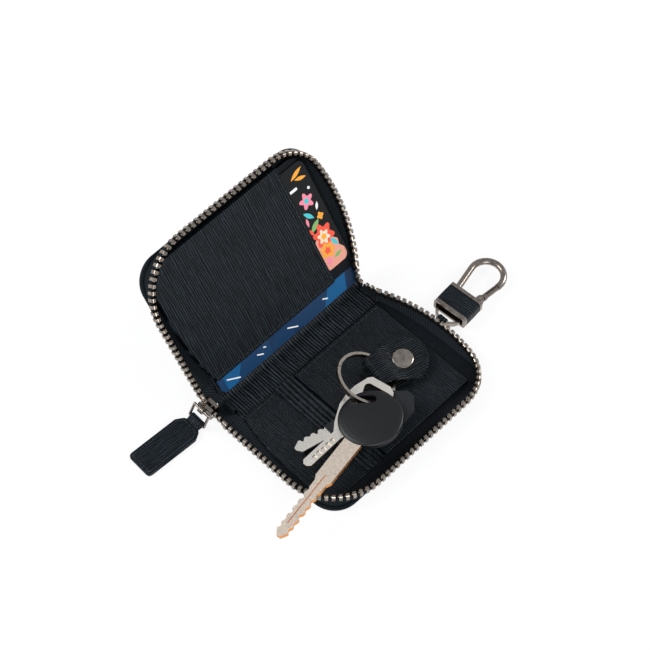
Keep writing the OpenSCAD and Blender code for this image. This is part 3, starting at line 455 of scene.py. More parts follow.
# Meshes
def made_piece(name, points, faces, uvs, materials, marks=None, smooth=True):
    """A mesh of points in mm, with its UV layer in metres so that patterns keep their real scale."""
    mesh = bpy.data.meshes.new(name)
    mesh.from_pydata([Vector(p) * MM for p in points], [], faces)
    for material in materials:
        mesh.materials.append(material)
    layer = mesh.uv_layers.new(name="pattern")
    for loop in mesh.loops:
        a, b = uvs[loop.vertex_index]
        layer.data[loop.index].uv = (a * MM, b * MM)
    for i, polygon in enumerate(mesh.polygons):
        polygon.use_smooth = smooth
        polygon.material_index = marks[i] if marks else 0
    work = bmesh.new()
    work.from_mesh(mesh)
    bmesh.ops.recalc_face_normals(work, faces=work.faces)
    wide = [f for f in work.faces if len(f.verts) > 4]
    bmesh.ops.triangulate(work, faces=wide, ngon_method="BEAUTY")
    work.to_mesh(mesh)
    work.free()
    if smooth:
        mesh.set_sharp_from_angle(angle=math.radians(48))
    obj = bpy.data.objects.new(name, mesh)
    bpy.context.scene.collection.objects.link(obj)
    return obj


def joined_rings(count, size, cyclic=False):
    """Faces between rings of points, and over the first and the last unless the rings meet."""
    faces = []
    for k in range(count if cyclic else count - 1):
        a, b = k * size, (k + 1) % count * size
        faces += [(a + i, a + (i + 1) % size, b + (i + 1) % size, b + i) for i in range(size)]
    if not cyclic:
        faces += [tuple(range(size))[::-1], tuple(range((count - 1) * size, count * size))]
    return faces


def shifted(faces, first):
    """The faces of a piece whose points start at first."""
    return [tuple(first + i for i in face) for face in faces]


def panel(name, outline, low, high, place, material, edge=0.35, crown=0.0, across=False):
    """A leather panel: rounded edges all round and, with a crown, a face that swells to its middle.
    The ribs run along u, or along y where the panel is cut across."""
    outline = tidy(outline)
    n = len(outline)
    centre = Vector((sum(p[0] for p in outline) / n, sum(p[1] for p in outline) / n))
    levels = [(2.5 * edge, low), (edge, low), (0.3 * edge, low + 0.3 * edge), (0, low + edge),
              (0, high - edge), (0.3 * edge, high - 0.3 * edge), (edge, high), (2.5 * edge, high)]
    rings = [[(p, q, h) for p, q in inset_of(outline, d)] for d, h in levels]
    if crown:
        rim = [(p, q) for p, q, h in rings[-1]]
        for t in (0.08, 0.18, 0.32, 0.5, 0.75):
            swell = high + crown * (1 - (1 - t) ** 2.4)
            rings.append([(p + (centre.x - p) * t, q + (centre.y - q) * t, swell) for p, q in rim])
    flat = [v for ring in rings for v in ring]
    faces = joined_rings(len(rings), n)
    if crown:
        last = (len(rings) - 1) * n
        faces = faces[:-1] + [(last + i, last + (i + 1) % n, len(flat)) for i in range(n)]
        flat.append((centre.x, centre.y, high + crown))
    uvs = [(q, p) if across else (p, q) for p, q, h in flat]
    return made_piece(name, [place(*v) for v in flat], faces, uvs, [material])


def seam(name, path, place, pitch=2.9, length=2.1, thick=0.42):
    """A row of stitches: short rounded threads, sunk a little, along a path of (u, y, h) points."""
    sink, sides = 0.1, 8
    stations = ((-0.5, 0.25), (-0.42, 0.8), (-0.2, 1.0), (0.2, 1.0), (0.42, 0.8), (0.5, 0.25))
    points, faces, uvs, spots = [], [], [], []
    for a, b in zip(path, path[1:]):
        a, b = Vector(a), Vector(b)
        n = max(1, round((b - a).length / pitch))
        spots += [(a.lerp(b, (k + 0.5) / n), (b - a).normalized()) for k in range(n)]
    for spot, run in spots:
        side = Vector((-run.y, run.x, 0)).normalized()
        faces += shifted(joined_rings(len(stations), sides), len(points))
        for s, w in stations:
            mid = spot + run * (s * length) + Vector((0, 0, thick / 2 - sink - 0.12 * (abs(s) * 2) ** 3))
            for k in range(sides):
                a = math.tau * k / sides
                r = thick / 2 * w
                points.append(place(*(mid + side * (math.cos(a) * r) + Vector((0, 0, math.sin(a) * r)))))
                uvs.append((s * length, k * 0.1))
    return made_piece(name, points, faces, uvs, [thread_wax])


def strap_piece(name, stations, place, material, thick=STRAP_T):
    """A strap lofted through stations of (s, z, angle, half width), each a flat oval that bulges a little."""
    points, uvs, run = [], [], 0.0
    for k, (s, z, angle, half) in enumerate(stations):
        if k:
            run += math.dist((s, z), stations[k - 1][:2])
        e = min(0.3, half * 0.9)
        side = [(half - e, 0.5), (half - 0.3 * e, 0.4), (half, 0.1), (half, -0.1), (half - 0.3 * e, -0.4),
                (half - e, -0.5)]
        oval = [(-w, t) for w, t in side[::-1]] + [(-half * 0.5, 0.53), (0, 0.54), (half * 0.5, 0.53)]
        oval += side + [(half * 0.5, -0.5), (0, -0.5), (-half * 0.5, -0.5)]
        for w, t in oval:
            points.append(place(s - math.sin(angle) * t * thick, w, z + math.cos(angle) * t * thick))
            uvs.append((run, w))
    return made_piece(name, points, joined_rings(len(stations), len(oval)), uvs, [material])


def fixed(piece, body, slot, *nodes):
    """The piece moves with its body and stands for its CAD nodes, which are hidden. The slot is not used."""
    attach(piece, body)
    if nodes:
        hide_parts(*nodes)


def bending(piece, bodies, start, end, slot, *nodes):
    """Bakes the piece's placement into its mesh and hides the CAD nodes it stands for. Nothing is made of the
    bodies, start and end; the slot is not used.
    """
    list(bodies)
    Vector(start) * MM
    Vector(end) * MM
    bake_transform(piece)
    if nodes:
        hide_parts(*nodes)


# The CAD's own pieces of metal, plastic and card only take their finish
for material, nodes in ((teeth_metal, ("back_zip_teeth", "front_zip_teeth")),
                        (gunmetal, ("zip_stop", "zip_slider", "pull_wire", "hook_sleeve", "hook_loop",
                                    "hook_gate")),
                        (nickel, ("snap_stud", "split_ring", "hook_rings", "gate_pin", "gate_spring")),
                        (cap_metal, ("snap_cap",)), (fob_plastic, ("fob_key_head",)),
                        (brass_key, ("fob_key_blade",)), (milled_key_shaded_pits, ("dimple_key",)),
                        (head_plastic, ("house_key_head",)), (stamped_key, ("house_key_blade",)),
                        (blue_card, ("card_b",)), (dark_card, ("card_a",))):
    for node in nodes:
        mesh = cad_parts[node].data
        mesh.materials.clear()
        mesh.materials.append(material)

# Covers and their lining: the outer hide is pebbled, the inner side smooth
FOLD_REACH = 2.5
for half, place in HALVES:
    cover = panel(half + "_cover_hide", cover_outline(0, FOLD_REACH), 0, LEATHER, place, pebbled_hide,
                  edge=0.45)
    fixed(cover, half + "_half", "leather", half + "_cover")
    lining = panel(half + "_lining_hide", cover_outline(0.8, FOLD_REACH), LEATHER, INNER, place, lining_hide,
                   edge=0.2)
    fixed(lining, half + "_half", "lining", half + "_lining")

# The zip's tape leans from the cover's edge to the row and stands upright in the teeth
RUN_STEPS = (44, 16, 20, 24, 26)
TAPE_RISE, TAPE_UV_H = (0.0, 0.1, 0.22, 0.34, 0.44, 0.52, 0.66, 0.82, 0.97, 1.0), 4.2
for half, place in HALVES:
    points, uvs, along, last = [], [], 0.0, None
    stations = [(k, i / n) for k, n in enumerate(RUN_STEPS) for i in range(n + (k == 4))]
    for k, f in stations:
        top, foot = row_point(k, f), foot_point(k, f)
        if last:
            along += math.dist(top[:2], last[:2])
        last = top
        out = Vector((math.cos(top[2]), math.sin(top[2]), 0))
        base, head = Vector((*foot, 0)), Vector((*top[:2], 0))
        for side, rise in ((-1, TAPE_RISE), (1, TAPE_RISE[::-1])):
            for t in rise:
                lean = min(1.0, t / 0.5)
                at = base.lerp(head, lean * (2 - lean) * 0.35 + lean * 0.65)
                thin = TAPE_T / 2 - (0.12 if t in (0.0, 1.0) else 0.0)
                at += out * (side * thin) + Vector((0, 0, INNER + t * (TAPE_TOP - INNER)))
                points.append(place(*at))
                uvs.append((along, t * TAPE_UV_H))
    tape = made_piece(half + "_tape_woven", points, joined_rings(len(stations), 2 * len(TAPE_RISE)), uvs,
                      [tape_cloth])
    fixed(tape, half + "_half", "zip_tape", half + "_zip_tape")

# The spine: three bands of hide, one over each fold
BEND_R, BLEND_HALF, MIDDLE_HALF = 4.0, 2.2, 2.6
SPINE_ROWS = 26


def edge_reach(u):
    """Half the cover's length at a distance u from the fold."""
    return HALF_L - WAIST_R + math.sqrt(max(0.0, WAIST_R ** 2 - (WAIST_R - min(u, WAIST_R)) ** 2))


def spine_ends(s):
    """Lowest and highest y of the spine at s, which is 0 at the back's fold and 21 at the front's."""
    if s <= 0 or s >= 2 * STRIP_W:
        reach = edge_reach(-s if s <= 0 else s - 2 * STRIP_W)
        return -reach, reach
    fold_end = HALF_L - WAIST_R
    f = min(1.0, min(s, 2 * STRIP_W - s) / FOLD_REACH)
    f = f * f * (3 - 2 * f)
    return -fold_end + f * (STRIP_LOW + fold_end), fold_end + f * (STRIP_TOP - fold_end)


def spine_place(s):
    """Place of the spine's section at s, with the middle fold bent round a soft radius."""
    lead = BEND_R * math.tan(OPEN / 2)
    off = s - STRIP_W
    if off <= -lead:
        return lambda y, h: Vector((FOLD_X - s, y, h))
    if off >= lead:
        return lambda y, h: upper_strip(off, y, h)
    turn = OPEN * (off + lead) / (2 * lead)
    pivot = Vector((MID_X + lead, 0, INNER + BEND_R))

    def bent(y, h):
        r = BEND_R + INNER - h
        return Vector((pivot.x - r * math.sin(turn), y, pivot.z - r * math.cos(turn)))
    return bent


def spine_band(name, s0, s1, steps, bodies, start, end, *nodes):
    """One band from s0 to s1: ribbed within, pebbled outside, with round edges at both ends."""
    points, uvs = [], []
    for i in range(steps + 1):
        s = s0 + (s1 - s0) * i / steps
        place = spine_place(s)
        low, top = spine_ends(s)
        across = [low + 0.5 + (top - low - 1.0) * j / SPINE_ROWS for j in range(SPINE_ROWS + 1)]
        ring = [(y, 0.0) for y in across]
        ring += [(top - 0.12, 0.25), (top, 0.7), (top - 0.05, 1.2), (top - 0.3, INNER - 0.1)]
        ring += [(y, INNER) for y in across[::-1]]
        ring += [(low + 0.3, INNER - 0.1), (low + 0.05, 1.2), (low, 0.7), (low + 0.12, 0.25)]
        points += [place(y, h) for y, h in ring]
        uvs += [(s, y) for y, h in ring]
    size = len(ring)
    faces = joined_rings(steps + 1, size)
    inside = range(SPINE_ROWS, 2 * SPINE_ROWS + 5)
    marks = [0 if k % size in inside else 1 for k in range(len(faces) - 2)] + [1, 1]
    band = made_piece(name, points, faces, uvs, [creased_hide, pebbled_hide], marks)
    bending(band, bodies, start, end, "leather", *nodes)


def spine_axis(s):
    return spine_place(s)(0, INNER)


spine_band("spine_band_back", -FOLD_REACH, 5.2, 22, ("back_half", "spine_lower"),
           (FOLD_X + BLEND_HALF, 0, INNER), (FOLD_X - BLEND_HALF, 0, INNER),
           "spine_lower_cover", "spine_lower_lining")
spine_band("spine_band_middle", 5.2, 15.8, 30, ("spine_lower", "spine_upper"),
           spine_axis(STRIP_W - MIDDLE_HALF), spine_axis(STRIP_W + MIDDLE_HALF))
spine_band("spine_band_front", 15.8, 2 * STRIP_W + FOLD_REACH, 22, ("spine_upper", "front_half"),
           spine_axis(2 * STRIP_W - BLEND_HALF), front(BLEND_HALF, 0, INNER),
           "spine_upper_cover", "spine_upper_lining")


# The zip's flexible ends, from each row to the slider or to the stop
def zip_path(start, stop, up_start, up_stop, steps):
    """Stations of (point, up) from one place to another, with the teeth turning as they go."""
    return [(start.lerp(stop, i / steps), up_start.lerp(up_stop, i / steps).normalized())
            for i in range(steps + 1)]


TOOTH_W, TOOTH_H, TOOTH_SIDES = 2.5, 3.4, 12
TOOTH_RINGS = ((-0.75, 0.85), (-0.58, 1.0), (0.58, 1.0), (0.75, 0.85))


def chain_end(name, path, side, bodies, start, end, skirt=8.2):
    """A short run of tape, its skirt away from the given side, with a tooth at every third station."""
    cloth, cloth_uv = [], []
    for k, (at, up) in enumerate(path):
        foot, knee, top = at - side * skirt - up * 4.2, at - side * 0.2 - up * 2.2, at - up * 0.1
        cloth += [foot - side * 0.3, knee - side * 0.35, top - side * 0.35, top + side * 0.35,
                  knee + side * 0.35, foot + side * 0.3]
        cloth_uv += [(k * 0.8, v) for v in (0, 3.4, 5.2, 5.9, 7.7, 11.1)]
    tape = made_piece(name + "_tape", cloth, joined_rings(len(path), 6), cloth_uv, [tape_cloth])
    bending(tape, bodies, start, end, "zip_tape")
    points, uvs, faces = [], [], []
    for at, up in path[1::3]:
        run = side.cross(up).normalized()
        faces += shifted(joined_rings(len(TOOTH_RINGS), TOOTH_SIDES), len(points))
        for w, reach in TOOTH_RINGS:
            for k in range(TOOTH_SIDES):
                a = math.tau * k / TOOTH_SIDES
                rim = side * (math.cos(a) * TOOTH_W / 2 * reach) + up * (math.sin(a) * TOOTH_H / 2 * reach)
                points.append(at + run * w + rim)
                uvs.append((k * 0.3, w))
    teeth = made_piece(name + "_teeth", points, faces, uvs, [teeth_metal])
    bending(teeth, bodies, start, end, "gunmetal")


SLIDER_X, STOP_X, STOP_Y, STOP_HALF = -44.0, -42.0, 43.2, 1.8
ROW_END, ROW_HIGH = 1.2, 45.1
OUTWARDS, INWARDS, UP = Vector((0, -1, 0)), Vector((0, 1, 0)), Vector((0, 0, 1))
LOWER, UPPER = ("back_half", "spine_lower"), ("spine_upper", "front_half")
FOLD_START, FOLD_STOP = Vector((FOLD_X, 0, 6)), Vector((FOLD_X - 4, 0, 6))
front_up = front(0, 0, 1) - front(0, 0, 0)
slider_low = Vector((SLIDER_X + 0.4, -ROW_LOW + 0.8, ROW_Z - 0.2))
slider_mouth = Vector((SLIDER_X - 1.2, -ROW_LOW + 0.8, 7.6))
stop_low = Vector((STOP_X + STOP_HALF, STOP_Y, ROW_Z))
stop_top = Vector((STOP_X - STOP_HALF, STOP_Y, 6.8))
low_start, low_turn_start = back(ROW_END, -ROW_LOW, ROW_Z), front(ROW_END, -ROW_LOW, ROW_Z)
top_start, top_turn_start = back(ROW_END, ROW_HIGH, ROW_Z), front(ROW_END, ROW_HIGH, ROW_Z)
chain_end("zip_end_back", zip_path(low_start, slider_low, UP, UP, 12), OUTWARDS, LOWER,
          FOLD_START, FOLD_STOP)
chain_end("zip_end_front", zip_path(low_turn_start, slider_mouth, front_up, Vector((-0.5, 0, 0.85)), 8),
          OUTWARDS, UPPER, slider_mouth, low_turn_start)
chain_end("zip_top_back", zip_path(top_start, stop_low, UP, UP, 9), INWARDS, LOWER,
          FOLD_START, FOLD_STOP, skirt=0.5)
chain_end("zip_top_front", zip_path(top_turn_start, stop_top, front_up, Vector((-0.3, 0, 0.95)), 8),
          INWARDS, UPPER, stop_top, top_turn_start, skirt=0.5)

# Zip ends on the lower strip: a folded tab of tape and the tape's tail
tab_profile = rounded([(-45.2, INNER), (-42.2, INNER), (-42.2, INNER + 1), (-44.2, INNER + 1), (-44.2, 6.5),
                       (-45.2, 6.5)], 0.45)
end_tab = panel("zip_end_tab_folded", tab_profile, -41.8, -34.8, lambda y, z, x: Vector((x, y, z)),
                tape_cloth, edge=0.25)
fixed(end_tab, "spine_lower", "zip_tape", "zip_end_tab")
tail_profile = rounded([(-43.2, 42.6), (-40.8, 42.6), (-40.8, 43.4), (-43.2, 43.4)], 0.3)
tail = panel("zip_tail_woven", tail_profile, INNER, TAPE_TOP, lambda x, y, z: Vector((x, y, z)), tape_cloth,
             edge=0.15)
fixed(tail, "spine_lower", "zip_tape", "zip_end_tape")

# Pockets of the back half: the slip pocket, and the coin pocket on its hidden side wall
POCKET_U0, POCKET_U1, SLIP_TOP, COIN_TOP = 2.7, 61.0, 2.6, 3.8
slip = rounded(pocket_outline(3.2, u0=POCKET_U0, u1=POCKET_U1, y1=-24.05), 0.7)
slip_panel = panel("slip_pocket_hide", dense(slip, 6), INNER, SLIP_TOP, back, shallow_hide, crown=0.25)
fixed(slip_panel, "back_half", "panel_leather", "slip_pocket")
coin = rounded([(3.7, -12.4), (POCKET_U1, -12.4), (POCKET_U1, 41), (3.7, 41)], 1.0)
coin_panel = panel("coin_pocket_hide", dense(coin, 6), 2.9, COIN_TOP, back, shallow_hide, edge=0.4,
                   crown=0.22)
fixed(coin_panel, "back_half", "panel_leather", "coin_pocket")
coin_wall = [(3.9, -12.3), (60.8, -12.3), (60.8, 40.8), (3.9, 40.8), (3.9, 39), (59, 39), (59, -10.4),
             (3.9, -10.4)]
fixed(panel("coin_pocket_side_wall", coin_wall, INNER, 3.1, back, lining_hide, edge=0.15), "back_half",
      "panel_leather")

# The pleated gusset between them: five soft folds that bow a little, over a flat underside
PLEAT_Y0, PLEAT_Y1, PLEATS, PLEAT_RISE, PLEAT_BOW = -24.0, -12.45, 5, 1.5, 0.55
COLS, ROWS = 48, 80
points, uvs = [], []
for i in range(COLS + 1):
    u = POCKET_U0 + (POCKET_U1 - POCKET_U0) * i / COLS
    for j in range(ROWS + 1):
        f = j / ROWS
        bow = PLEAT_BOW * math.sin(math.pi * i / COLS) * math.sin(math.pi * f)
        y = PLEAT_Y0 + (PLEAT_Y1 - PLEAT_Y0) * f
        wave = abs(math.sin(math.pi * (f * PLEATS + bow * 0.5))) ** 0.7
        sag = 0.1 * math.sin(7.0 * i / COLS + 2.0 * f * PLEATS)
        points.append(back(u, y, INNER + 0.15 + PLEAT_RISE * wave * (0.9 + sag)))
        uvs.append((u, y * 1.6))
line = ROWS + 1
faces = [(a, a + 1, a + line + 1, a + line) for i in range(COLS) for a in range(i * line, i * line + ROWS)]
under = len(points)
for u, y in ((POCKET_U0, PLEAT_Y0), (POCKET_U0, PLEAT_Y1), (POCKET_U1, PLEAT_Y1), (POCKET_U1, PLEAT_Y0)):
    points.append(back(u, y, INNER))
    uvs.append((u, y))
faces.append((under, under + 3, under + 2, under + 1))
faces.append(tuple(range(line)) + (under + 1, under))
faces.append(tuple(range(COLS * line, COLS * line + line))[::-1] + (under + 3, under + 2))
faces.append(tuple(k * line for k in range(COLS, -1, -1)) + (under, under + 3))
faces.append(tuple(k * line + ROWS for k in range(COLS + 1)) + (under + 2, under + 1))
gusset = made_piece("coin_pocket_pleats", points, faces, uvs, [pleated_hide])
fixed(gusset, "back_half", "panel_leather", "coin_pocket_gusset")

# Hems sewn along the pockets' mouths
for name, path in (("coin_pocket_hem", [(5.3, -11.4, COIN_TOP), (5.3, 40, COIN_TOP)]),
                   ("slip_pocket_hem", [(4.3, -41.6, SLIP_TOP), (4.3, -25.2, SLIP_TOP)])):
    fixed(seam(name, path, back), "back_half", "panel_leather")

# The key strap: base and lower half of its fold, then the fold's upper half with the flap
FOLD_S, FOLD_Z, FOLD_MEAN_R, FOLD_HALF = -12.9, 7.5, 3.25, 8.0
ROUND_C, ROUND_R = 0.8, 11.3
BASE_Z, FLAP_Z = 4.25, 7.35


def strap_half(s):
    """Half the strap's width at s: tapered sides that run into the round end."""
    reach, rise = ROUND_C - FOLD_S, FOLD_HALF
    a = math.pi - math.atan2(rise, reach) - math.acos(ROUND_R / math.hypot(reach, rise))
    tip_s, tip_w = ROUND_C + ROUND_R * math.cos(a), ROUND_R * math.sin(a)
    if s <= FOLD_S:
        return FOLD_HALF
    if s < tip_s:
        return FOLD_HALF + (tip_w - FOLD_HALF) * (s - FOLD_S) / (tip_s - FOLD_S)
    return math.sqrt(max(0.02, ROUND_R ** 2 - (s - ROUND_C) ** 2))


def strap_turn(first):
    """A quarter of the strap's fold, from an angle of first degrees."""
    return [(FOLD_S - FOLD_MEAN_R * math.sin(a), FOLD_Z - FOLD_MEAN_R * math.cos(a), math.pi - a, FOLD_HALF)
            for a in (math.radians(first + 9 * i) for i in range(11))]


END_S = [ROUND_C + ROUND_R * math.sin(math.radians(a)) for a in (0, 15, 30, 42, 53, 62, 70, 77, 83, 87, 89.4)]
base_run = [(s, BASE_Z, math.pi, strap_half(s)) for s in END_S[::-1] + [-2, -5, -8, -10.5]]
strap_base = strap_piece("key_strap_under", base_run + strap_turn(0), strap, flexed_hide)
fixed(strap_base, "back_half", "leather", "key_strap_base")
flap_run = [(s, z, angle, strap_half(s)) for s, z, angle in
            ((-11.5, 10.75, 0), (-9.8, 10.66, -0.12), (-8.6, 10.4, -0.3), (-7.5, 9.95, -0.48),
             (-6.5, 9.35, -0.58), (-5.5, 8.7, -0.56), (-4.5, 8.1, -0.46), (-3.5, 7.68, -0.28),
             (-2.5, 7.45, -0.13), (-1.2, 7.36, 0))]
flap_run += [(s, FLAP_Z, 0, strap_half(s)) for s in END_S]
strap_flap = strap_piece("key_strap_over", strap_turn(90) + flap_run, strap, flexed_hide)
bending(strap_flap, ("back_half", "strap_flap"), strap(-15.5, 0, 9.5), strap(-11.5, 0, 10.75), "leather",
        "key_strap_flap")

# The card pocket of the front half, with the board and the divider behind and between its two cards
MOUTH, POCKET_FACE = 31.7, 6.1
backing = panel("card_backing_hide", pocket_outline(2.6, 1.25, u0=0.5, y1=MOUTH), INNER, 3.15, front,
                lining_hide, edge=0.3)
fixed(backing, "front_half", "lining", "card_backing")
divider = panel("card_divider_hide", pocket_outline(2.6, 1.25, u0=0.6, y1=HALF_L - 7.5), 4.01, 4.36, front,
                lining_hide, edge=0.12)
fixed(divider, "front_half", "lining", "card_divider")
pocket_edge = pocket_outline(2.6, u0=0.6, y1=MOUTH)
card_panel = panel("card_pocket_hide", dense(rounded(pocket_edge, 0.9), 6), 5.3, POCKET_FACE, front,
                   ribbed_hide, edge=0.36, crown=0.02)
fixed(card_panel, "front_half", "panel_leather", "card_pocket")
# Its side wall stops short of the outer lower corner, where the lower card's corner comes to lie
spine_corner = min(range(len(pocket_edge)), key=lambda i: pocket_edge[i][0] + pocket_edge[i][1] * 0.2)
sewn_edge = [p for p in pocket_edge[spine_corner:] + pocket_edge[:spine_corner] if p[1] < MOUTH - 0.01]
sewn_edge.append((sewn_edge[-1][0], MOUTH))
for name, path in (("card_pocket_lower_wall", [p for p in sewn_edge if p[0] < 58.5]),
                   ("card_pocket_outer_wall", [p for p in sewn_edge if p[0] > 64])):
    card_wall = panel(name, rim_of(path, 0.35), INNER, 5.4, front, ribbed_hide, edge=0.1)
    fixed(card_wall, "front_half", "panel_leather")
HEM_Z = POCKET_FACE + 0.02
for name, path in (("card_pocket_hem_inner", [(2.2, MOUTH - 1.3, HEM_Z), (62.5, MOUTH - 1.3, HEM_Z)]),
                   ("card_pocket_hem_side", [(2.3, -42.5, HEM_Z), (2.3, MOUTH - 2.6, HEM_Z)])):
    fixed(seam(name, path, front), "front_half", "panel_leather")


# Printed shapes on the cards: flat polygons a hair above the card's face
def prints(name, shapes, body, slot, face):
    """One mesh for the card's print. A shape is (ink, outline), and each lies a little over the last."""
    inks, points, faces, uvs, marks = [], [], [], [], []
    for layer, (material, outline) in enumerate(shapes):
        if material not in inks:
            inks.append(material)
        block = joined_rings(2, len(outline))
        faces += shifted(block, len(points))
        marks += [inks.index(material)] * len(block)
        for h in (face - 0.02, face + 0.01 + 0.003 * layer):
            points += [front(p, q, h) for p, q in outline]
            uvs += [tuple(p) for p in outline]
    fixed(made_piece(name, points, faces, uvs, inks, marks, smooth=False), body, slot)


def blob(x, y, r, lobes=5, depth=0.25, squash=1.0, phase=0.0, n=40):
    """A flower: a circle with lobes."""
    return [(x + r * (1 + depth * math.cos(lobes * a + phase)) * math.cos(a),
             y + r * squash * (1 + depth * math.cos(lobes * a + phase)) * math.sin(a))
            for a in (math.tau * k / n for k in range(n))]


def turned_about(x, y, degrees, shape):
    c, s = math.cos(math.radians(degrees)), math.sin(math.radians(degrees))
    return [(x + p * c - q * s, y + p * s + q * c) for p, q in shape]


def leaf(x, y, length, width, degrees, n=12):
    half = [(length * (k / n - 0.5), width / 2 * math.sin(math.pi * k / n)) for k in range(n + 1)]
    return turned_about(x, y, degrees, [(p, -q) for p, q in half] + half[-2:0:-1])


def dash(x, y, length, width, degrees):
    p, q = length / 2, width / 2
    return turned_about(x, y, degrees, [(-p, -q), (p, -q), (p, q), (-p, q)])


white, pink, cyan = ink("ink_white", "#f2f2ef"), ink("ink_pink", "#f08ca0"), ink("ink_cyan", "#4cc3c9")
orange, green, coral = ink("ink_orange", "#f3a73c"), ink("ink_green", "#7fb069"), ink("ink_coral", "#ef5a44")
sky, navy, sand = ink("ink_sky", "#115889"), ink("ink_navy", "#0f3559"), ink("ink_sand", "#f4dcc0")
blush = ink("ink_blush", "#e7a08c")
A_FACE, B_FACE = 5.17, 3.96
hills = [(6.3, 32), (22, 32), (23.5, 34), (20.5, 36.5), (22, 38.8), (19.5, 41), (17, 43.4), (14, 42.6),
         (11.5, 44.4), (8.6, 44.4), (7.2, 43.6), (6.3, 42.2)]
flowers = [(blush, rounded(hills, 1.2)), (orange, leaf(55.5, 39.5, 8.5, 2.0, 70)),
           (orange, leaf(52.5, 40.5, 6.5, 1.8, 105)), (white, dash(49.6, 34.6, 1.3, 4.2, 0)),
           (pink, blob(41.5, 38.0, 3.2, 5, 0.28)), (cyan, blob(41.5, 38.0, 1.3, 6, 0.1)),
           (white, leaf(36.5, 41.5, 4.0, 1.4, 30)), (cyan, leaf(35.0, 35.5, 6.5, 2.2, -40)),
           (orange, blob(31.5, 40.8, 1.6, 4, 0.2)), (green, leaf(29.0, 36.0, 7.5, 2.6, 60)),
           (pink, leaf(32.6, 33.4, 4.5, 1.5, 10)), (coral, blob(22.5, 37.8, 5.2, 6, 0.22, 0.95, 0.6)),
           (sand, blob(22.0, 37.5, 3.0, 6, 0.25, 0.95, 0.2)), (orange, blob(22.0, 37.5, 1.4, 5, 0.2)),
           (cyan, leaf(16.8, 41.2, 6.0, 2.0, -25)), (orange, blob(15.2, 36.0, 3.6, 7, 0.2, 1.0, 0.3)),
           (coral, blob(15.2, 36.0, 1.6, 5, 0.2)), (green, leaf(10.6, 40.0, 5.0, 1.8, 80)),
           (pink, leaf(10.2, 34.6, 5.2, 2.8, 5)), (coral, leaf(27.3, 33.0, 4.2, 1.6, -15)),
           (white, blob(46.2, 42.0, 0.7, 4, 0.1))]
prints("card_a_print", flowers, "upper_card", "card_dark", A_FACE)
strokes = [(sky, [(-7.3, -39), (0.4, -39), (0.4, -27), (-7.3, -33)]),
           (navy, [(-7.3, -12), (0.4, -6), (0.4, 9), (-7.3, 2)]),
           (sky, [(-7.3, 22), (0.4, 28), (0.4, 39), (-7.3, 36)])]
strokes += [(white, dash(u, y, length, 0.6, 118)) for u, y, length in
            ((-4.4, -34.5, 7.4), (-3.9, -17.5, 3.6), (-2.4, -13.9, 1.6), (-4.1, 3.0, 6.0), (-3.8, 24.0, 3.0))]
prints("card_b_print", strokes, "lower_card", "card_blue", B_FACE)

# The puller's leather tab, with a sewn hem and a neck that folds round the wire
NECK_R, NECK_TURN, NECK_HALF = 1.75, 1.3, 3.8
TAB_Y, TAB_W, TAB_L, TAB_T = -3.174, 14.3, 34.0, 2.0
TAB_SHOULDER, TAB_SLOPE = -(NECK_R + 0.9), 4.2


def on_tab(a, b, c):
    return puller(a, b + TAB_Y, c)


tab_shape = [(-TAB_W / 2, -TAB_L), (TAB_W / 2, -TAB_L), (TAB_W / 2, TAB_SHOULDER - TAB_SLOPE),
             (4.6, TAB_SHOULDER), (-4.6, TAB_SHOULDER), (-TAB_W / 2, TAB_SHOULDER - TAB_SLOPE)]
tab_edge = rounded(tab_shape, 2.4, 6)
tab = panel("pull_tab_hide", dense(tab_edge, 3), 0.0, TAB_T, on_tab, fine_hide, edge=0.5, crown=0.15,
            across=True)
fixed(tab, "pull_tab", "leather", "pull_tab")
sewn_line = inset_of(tab_edge, 1.5)
tab_hem = seam("pull_tab_hem", [(p, q, TAB_T) for p, q in sewn_line + sewn_line[:1]], on_tab,
               pitch=2.0, length=1.5, thick=0.36)
fixed(tab_hem, "pull_tab", "leather")
neck_run = [(-3.4, 0.62, 0.0, NECK_HALF), (-2.2, 0.62, 0.0, NECK_HALF), (-1.0, 0.52, -0.1, NECK_HALF)]
neck_run += [(NECK_TURN * math.sin(a), NECK_R - NECK_TURN * math.cos(a), a, NECK_HALF)
             for a in (math.radians(15 + 20 * i) for i in range(11))]
neck_run += [(-2.0, 1.75, math.pi + 0.2, NECK_HALF), (-3.4, 1.5, math.pi + 0.1, NECK_HALF)]
neck = strap_piece("pull_tab_neck", neck_run, lambda s, w, z: on_tab(w, s, z), fine_hide, thick=0.85)
fixed(neck, "pull_tab", "leather")

# The hook's rolled leather tab on the case
ROLL_X, ROLL_Y, ROLL_Z, ROLL_MEAN, ROLL_HALF = -2.8, 55.4, 2.6, 2.05, 2.2
roll_run = [(HALF_L - 0.6, 0.75, 0.0, ROLL_HALF), (HALF_L + 1.5, 0.75, 0.0, ROLL_HALF),
            (ROLL_Y - 1.2, 0.68, 0.0, ROLL_HALF)]
roll_run += [(ROLL_Y + ROLL_MEAN * math.sin(a), ROLL_Z - ROLL_MEAN * math.cos(a), a, ROLL_HALF)
             for a in (math.radians(18 * i) for i in range(1, 19))]
roll = strap_piece("hook_tab_rolled", roll_run, lambda s, w, z: Vector((ROLL_X + w, s, z)), fine_hide,
                   thick=0.7)
fixed(roll, "back_half", "leather", "hook_tab")

